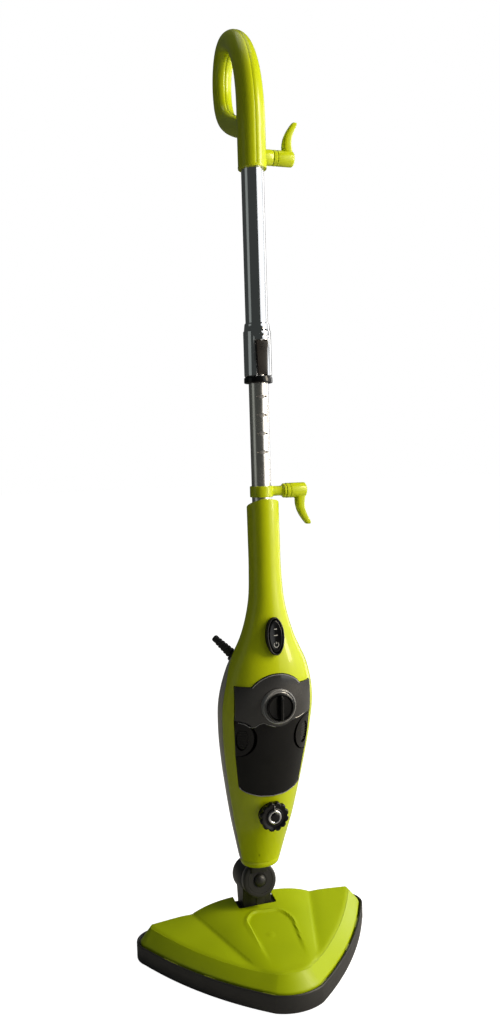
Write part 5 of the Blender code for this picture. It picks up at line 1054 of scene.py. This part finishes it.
def makePole():
    s = poleSettings
    r, w = s["lowerRadius"], s["wall"]
    lower = turned("lowerTube", [(r - w, s["lowerStart"]), (r, s["lowerStart"]), (r, s["lowerEnd"]),
                                 (r - w, s["lowerEnd"])], "tubeChrome", segments=96)
    halfX, halfZ = s["holeHalf"]
    for z in s["holes"]:
        lens = []
        for i in range(32):
            a = tau * i / 32
            lens.append((halfX * cos(a), z + halfZ * sin(a) * abs(sin(a)) ** 0.35))
        carve(lower, prism("slotCutter", lens, -0.03, -r * 0.4))
    dress(lower, "steam_unit", 34, ("lower_tube",))
    liner, foot, head = r - w - 0.0002, s["holes"][-1] - 0.006, s["holes"][0] + 0.006
    turned("slotWall", [(liner - 0.0004, foot), (liner, foot), (liner, head), (liner - 0.0004, head)],
           "slotSteel", "steam_unit", segments=64)
    r, foot, head = s["upperRadius"], s["housingTop"] - 0.001, s["upperEnd"]
    turned("upperTube", [(r - w, foot), (r, foot), (r, head), (r - w, head)],
           "chromePlate", "stick", segments=96, replaces=("upper_tube",))
    inside, cone = s["inside"], s["coneTop"]
    ring, low, top = s["ringRadius"], s["ringBottom"], s["ringTop"]
    turned("lockRing", [(inside, low + 0.0006), (0.0129, low), (ring - 0.0014, low),
                        (ring - 0.0004, low + 0.0004), (ring, low + 0.0014), (ring, top - 0.0020),
                        (ring - 0.0005, top - 0.0012), (ring - 0.0012, top - 0.0010), (ring - 0.0012, top),
                        (inside, top)],
           "blackGloss", "stick", segments=80, replaces=("lock_ring",))
    reach, low, top = s["housingRadius"], s["housingBottom"], s["housingTop"]
    profile = [(inside, low), (reach - 0.0006, low), (reach, low + 0.0006), (reach, top - 0.0016),
               (reach - 0.0003, top - 0.0006), (reach - 0.0010, top + 0.0004), (0.0150, cone - 0.0020),
               (0.0148, cone - 0.0008), (0.0144, cone), (0.0138, cone), (0.0138, top - 0.0013),
               (inside, top - 0.0013)]
    housing = turned("lockHousing", profile, "chromePlate", segments=96)
    # cowl over the button
    rings = []
    for i in range(13):
        a = radians(-90 + 15 * i)
        size = max(0.02, cos(a))
        z = s["leverTop"] + 0.0030 + s["cowlHigh"] * sin(a)
        rings.append([(x, y, z) for x, y in arcPoints(
            (0, -reach + 0.0045), (s["cowlHalf"] * size, -s["cowlDepth"] * size), 0, pi, 24)])
    boolean(housing, loft("cowl", rings, "chromePlate"), "UNION")
    half = s["leverHalf"] + 0.0005
    pocket = rounded([(-half * 0.86, low - 0.004), (half * 0.86, low - 0.004), (half, s["leverTop"] + 0.0012),
                      (-half, s["leverTop"] + 0.0012)], 0.0022, 5)
    carve(housing, prism("pocketCutter", pairs(pocket), -reach - 0.010, -0.0083))
    dress(housing, "stick", 32, ("lock_housing",))
    # button: narrow at the foot, wide at the top, with grip lines
    rings = []
    y0 = s["leverY"]
    low = s["leverLow"]
    for z, dy, share in ((low, 0.0012, 0.72), (low + 0.0012, 0.0006, 0.78), (low + 0.004, 0.0, 0.80),
                         *s["leverRows"], (s["leverTop"], 0.0003, 0.88)):
        half = s["leverHalf"] * share
        y = y0 + dy
        ring = rounded([(-half, y0 + 0.003), (-half, y), (half, y), (half, y0 + 0.003)], 0.0011, 4)
        rings.append([(p.x, p.y, z) for p in ring])
    loft("lockLever", rings, "buttonBrown", "lever", replaces=("lock_lever",))
    for i in range(4):
        z = 0.7815 + 0.0023 * i
        y = y0 - 0.0006 - 0.0001 * i
        run = [(x, y + (0.0003 if abs(x) > 0.003 else 0), z) for x in (-0.0040, -0.0025, 0, 0.0025, 0.0040)]
        tube(f"leverGrip_{i + 1}", run, 0.00038, "blackSatin", "lever")


makePole()
print("pole made")


# handle: column and loop in two halves
handleSettings = {
    "rim": 0.9943, "column": 0.0170, "bore": 0.0138, "seam": 0.00035,
    "loop": ((0.0000, 0.0000, 1.00), (0.0000, 0.0340, 1.00), (0.0000, 0.0590, 1.00), (0.0012, 0.0790, 0.98),
             (0.0045, 0.0990, 0.96), (0.0110, 0.1195, 0.94), (0.0215, 0.1390, 0.92), (0.0365, 0.1565, 0.89),
             (0.0560, 0.1695, 0.85), (0.0755, 0.1752, 0.81), (0.0925, 0.1715, 0.77), (0.1040, 0.1600, 0.74),
             (0.1102, 0.1440, 0.72), (0.1110, 0.1250, 0.71), (0.1062, 0.1060, 0.71), (0.0960, 0.0910, 0.71),
             (0.0805, 0.0800, 0.72), (0.0600, 0.0700, 0.73), (0.0370, 0.0610, 0.74), (0.0080, 0.0520, 0.74)),
    "bossRise": 0.0150, "bossEnd": 0.0250, "boss": 0.0092,
}


def makeHandle():
    s = handleSettings
    route = through([Vector((0, y, s["rim"] + h)) for y, h, _ in s["loop"]], 6)
    sizes = [p.x for p in through([Vector((share * s["column"], 0, 0)) for _, _, share in s["loop"]], 6)]
    for sign, label in ((-1, "left"), (1, "right")):
        rings = []
        for i, (centre, radius) in enumerate(zip(route, sizes)):
            along = (route[min(i + 1, len(route) - 1)] - route[max(i - 1, 0)]).normalized()
            if i == 0:
                along = up
            normal = Vector((0, along.z, -along.y))
            edge = s["seam"]
            ring = []
            for k in range(29):
                t = -pi / 2 + pi * k / 28
                ring.append(centre + sign * side * max(radius * cos(t), edge) + normal * radius * sin(t))
            for index, reach in ((0, 0.0006 - radius), (-1, radius - 0.0006)):  # rolled into the seam
                ring[index] = centre + sign * side * 0.0001 + normal * reach
            rings.append(ring)
        loft(f"handleHalf_{label}", rings, "limeGloss", "stick", sharp=48, replaces=(f"handle_{label}",))
    # rolled rim at the foot of the column
    rim, r = s["rim"], s["column"]
    turned("handleRim", [(s["bore"], rim + 0.0001), (r - 0.0014, rim), (r - 0.0002, rim + 0.0005),
                         (r + 0.0003, rim + 0.0016), (r + 0.0002, rim + 0.0027), (r - 0.0006, rim + 0.0034),
                         (s["bore"], rim + 0.0034)], "limeGloss", "stick", segments=96)
    r, end = s["boss"], s["bossEnd"]
    turned("hookBoss", [(0, 0.0080), (r, 0.0080), (r, end - 0.0008), (r - 0.0006, end), (0, end)],
           "limeGloss", "stick", (0, 0, rim + s["bossRise"]), side, 64)


makeHandle()
print("handle made")


# cord hooks
hookSettings = {
    "peg": 0.0092, "length": 0.0265, "rise": 0.0335, "half": 0.0062, "thick": 0.0046,
    "upper": (0.0250, 1.0093, 1), "lower": (0.0305, 0.6113, -1), "clipZ": 0.6113, "clipHeight": 0.0134,
    # share of the finger's height, how far out, and shares of its thickness and depth
    "finger": ((0.0, 0.0, 1.20, 1.00), (0.15, -0.0008, 1.20, 1.0), (0.30, -0.0012, 1.12, 0.99),
               (0.45, -0.0004, 1.05, 0.97), (0.60, 0.0014, 1.00, 0.95), (0.75, 0.0043, 0.95, 0.90),
               (0.88, 0.0074, 0.88, 0.82), (0.96, 0.0090, 0.72, 0.70), (1.0, 0.0094, 0.46, 0.52)),
    "arm": ((0, 0.0125), (0.0064, 0.0125), (0.0061, 0.0160), (0.0060, 0.0220), (0.0063, 0.0258),
            (0.0070, 0.0270), (0.0082, 0.0275), (0.0088, 0.0281), (0.0088, 0.0299), (0.0082, 0.0305),
            (0, 0.0305)),
}


def makeHook(name, body, node, seam, z0, way):
    s = hookSettings
    start = seam + 0.0003
    end = start + s["length"]
    r = s["peg"]
    peg = [(0, start), (r - 0.0006, start), (r, start + 0.0007), (r, start + 0.0040),
           (r - 0.0005, start + 0.0046), (r - 0.0005, start + 0.0054), (r, start + 0.0060),
           (r, end - 0.0022), (r - 0.0006, end - 0.0009),
           (r - 0.0018, end - 0.0001), (r - 0.0034, end), (r - 0.0040, end - 0.0006), (0, end - 0.0006)]
    turned(f"{name}Peg", peg, "limeGloss", body, (0, 0, z0), side, 64, replaces=(node,))
    root = end - 0.0070
    path = through([key[:2] for key in s["finger"]], 3)
    girth = through([key[2:] for key in s["finger"]], 3)
    rings = []
    for p, g in zip(path, girth):
        z = z0 + way * (r * 0.5 + (s["rise"] + r * 0.5) * p.x)
        x = root + p.y
        t, d = s["thick"] * g.x, s["half"] * g.y
        # channel section: rims stand out along both edges of the outer face
        section = ((-0.75, -1), (0.55, -1), (0.98, -0.93), (0.98, -0.78), (0.45, -0.62), (0.25, 0),
                   (0.45, 0.62), (0.98, 0.78), (0.98, 0.93), (0.55, 1), (-0.75, 1), (-1, 0.55), (-1, -0.55))
        rings.append([(x + t * a, d * b, z) for a, b in section])
    finger = loft(f"{name}Finger", rings, "limeGloss", body, sharp=0)
    finger.data.shade_smooth()
    smoother = finger.modifiers.new("round", "SUBSURF")
    smoother.levels = smoother.render_levels = 2
    # gusset between the peg and the finger
    web = [(root - inset, r * share) for inset, share in (
        (0.0120, 0.55), (0.0020, 0.55), (0.0028, 1.9), (0.0060, 1.25))]
    faces = [[(x, y, z0 + way * dz) for x, dz in web] for y in (-0.0011, 0.0011)]
    softEdges(loft(f"{name}Gusset", faces, "limeGloss", body), 0.0004)


def makeClip():
    s = hookSettings
    low, high = s["clipZ"] - s["clipHeight"] / 2, s["clipZ"] + s["clipHeight"] / 2
    turned("clipBand", [(0.0121, low), (0.0135, low), (0.0141, low + 0.0006), (0.0141, high - 0.0006),
                        (0.0135, high), (0.0121, high)], "limeGloss", "steam_unit", segments=80,
           replaces=("hook_clip",))
    turned("clipArm", s["arm"], "limeGloss", "steam_unit", (0, 0, s["clipZ"]), side, 56)


makeHook("upperHook", "upper_hook_body", "upper_hook", *hookSettings["upper"])
makeHook("lowerHook", "lower_hook_body", "lower_hook", *hookSettings["lower"])
makeClip()
print("hooks made")


# studio: pale floor, white surround, key light from the right
studioSettings = {
    "floorTone": 0.42, "floorGlow": 1.0, "floorZ": -0.0006,
    "surround": (0.90, 1.0, 0.96), "surroundPower": 0.060,
    # place, aim, size, power and tint of each lamp
    "lamps": {
        "softRight": ((1.75, -0.95, 0.95), (0.0, 0.0, 0.60), (3.0, 2.2), 30, (0.97, 0.99, 1.0)),
        "keyRight": ((1.35, -0.90, 1.20), (0.0, 0.0, 0.50), (0.40, 1.5), 40, (1.0, 0.88, 0.68)),
        "rimRight": ((1.20, 0.60, 0.80), (0.0, 0.0, 0.60), (0.30, 1.6), 6, (1.0, 0.98, 0.95)),
        "overhead": ((0.10, 0.10, 2.30), (0.0, 0.0, 0.10), (1.0, 1.0), 3, (1.0, 1.0, 1.0)),
        "fillLeft": ((-1.90, -0.10, 0.80), (0.0, 0.0, 0.55), (0.90, 1.8), 1.4, (0.92, 1.0, 0.95)),
    },
}


def makeStudio(s):
    mesh = bpy.data.meshes.new("studioFloor")
    z = s["floorZ"]
    mesh.from_pydata([(-9, -6, z), (9, -6, z), (9, 14, z), (-9, 14, z)], [], [(0, 1, 2, 3)])
    floor = bpy.data.objects.new("studioFloor", mesh)
    bpy.context.scene.collection.objects.link(floor)
    material = bpy.data.materials.new("paleFloor")
    material.use_nodes = True
    tree = material.node_tree
    shader = tree.nodes["Principled BSDF"]
    shader.inputs["Base Color"].default_value = (s["floorTone"], s["floorTone"], s["floorTone"], 1)
    shader.inputs["Roughness"].default_value = 0.9
    shader.inputs["Specular IOR Level"].default_value = 0.1
    shader.inputs["Emission Color"].default_value = (1, 1, 1, 1)
    # the floor shows white but throws little light up
    path = tree.nodes.new("ShaderNodeLightPath")
    glow = tree.nodes.new("ShaderNodeMath")
    glow.operation = "MULTIPLY"
    glow.inputs[1].default_value = s["floorGlow"]
    tree.links.new(path.outputs["Is Camera Ray"], glow.inputs[0])
    tree.links.new(glow.outputs["Value"], shader.inputs["Emission Strength"])
    mesh.materials.append(material)
    world = bpy.data.worlds.new("studio")
    bpy.context.scene.world = world
    world.use_nodes = True
    tree = world.node_tree
    dim = tree.nodes["Background"]
    dim.inputs["Color"].default_value = (*s["surround"], 1)
    dim.inputs["Strength"].default_value = s["surroundPower"]
    white = addNode(tree, "ShaderNodeBackground", Color=(1, 1, 1, 1), Strength=1.0)
    path = tree.nodes.new("ShaderNodeLightPath")
    mix = tree.nodes.new("ShaderNodeMixShader")
    tree.links.new(path.outputs["Is Camera Ray"], mix.inputs["Fac"])
    tree.links.new(dim.outputs["Background"], mix.inputs[1])
    tree.links.new(white.outputs["Background"], mix.inputs[2])
    tree.links.new(mix.outputs["Shader"], tree.nodes["World Output"].inputs["Surface"])
    for name, (place, aim, size, power, tint) in s["lamps"].items():
        data = bpy.data.lights.new(name, "AREA")
        data.shape = "RECTANGLE"
        data.size, data.size_y = size
        data.energy = power
        data.color = tint
        lamp = bpy.data.objects.new(name, data)
        bpy.context.scene.collection.objects.link(lamp)
        away = (Vector(place) - Vector(aim)).normalized()
        lamp.matrix_world = Matrix.Translation(place) @ away.to_track_quat("Z", "Y").to_matrix().to_4x4()
    bpy.context.scene.view_settings.view_transform = "Standard"


makeStudio(studioSettings)
print("studio made")
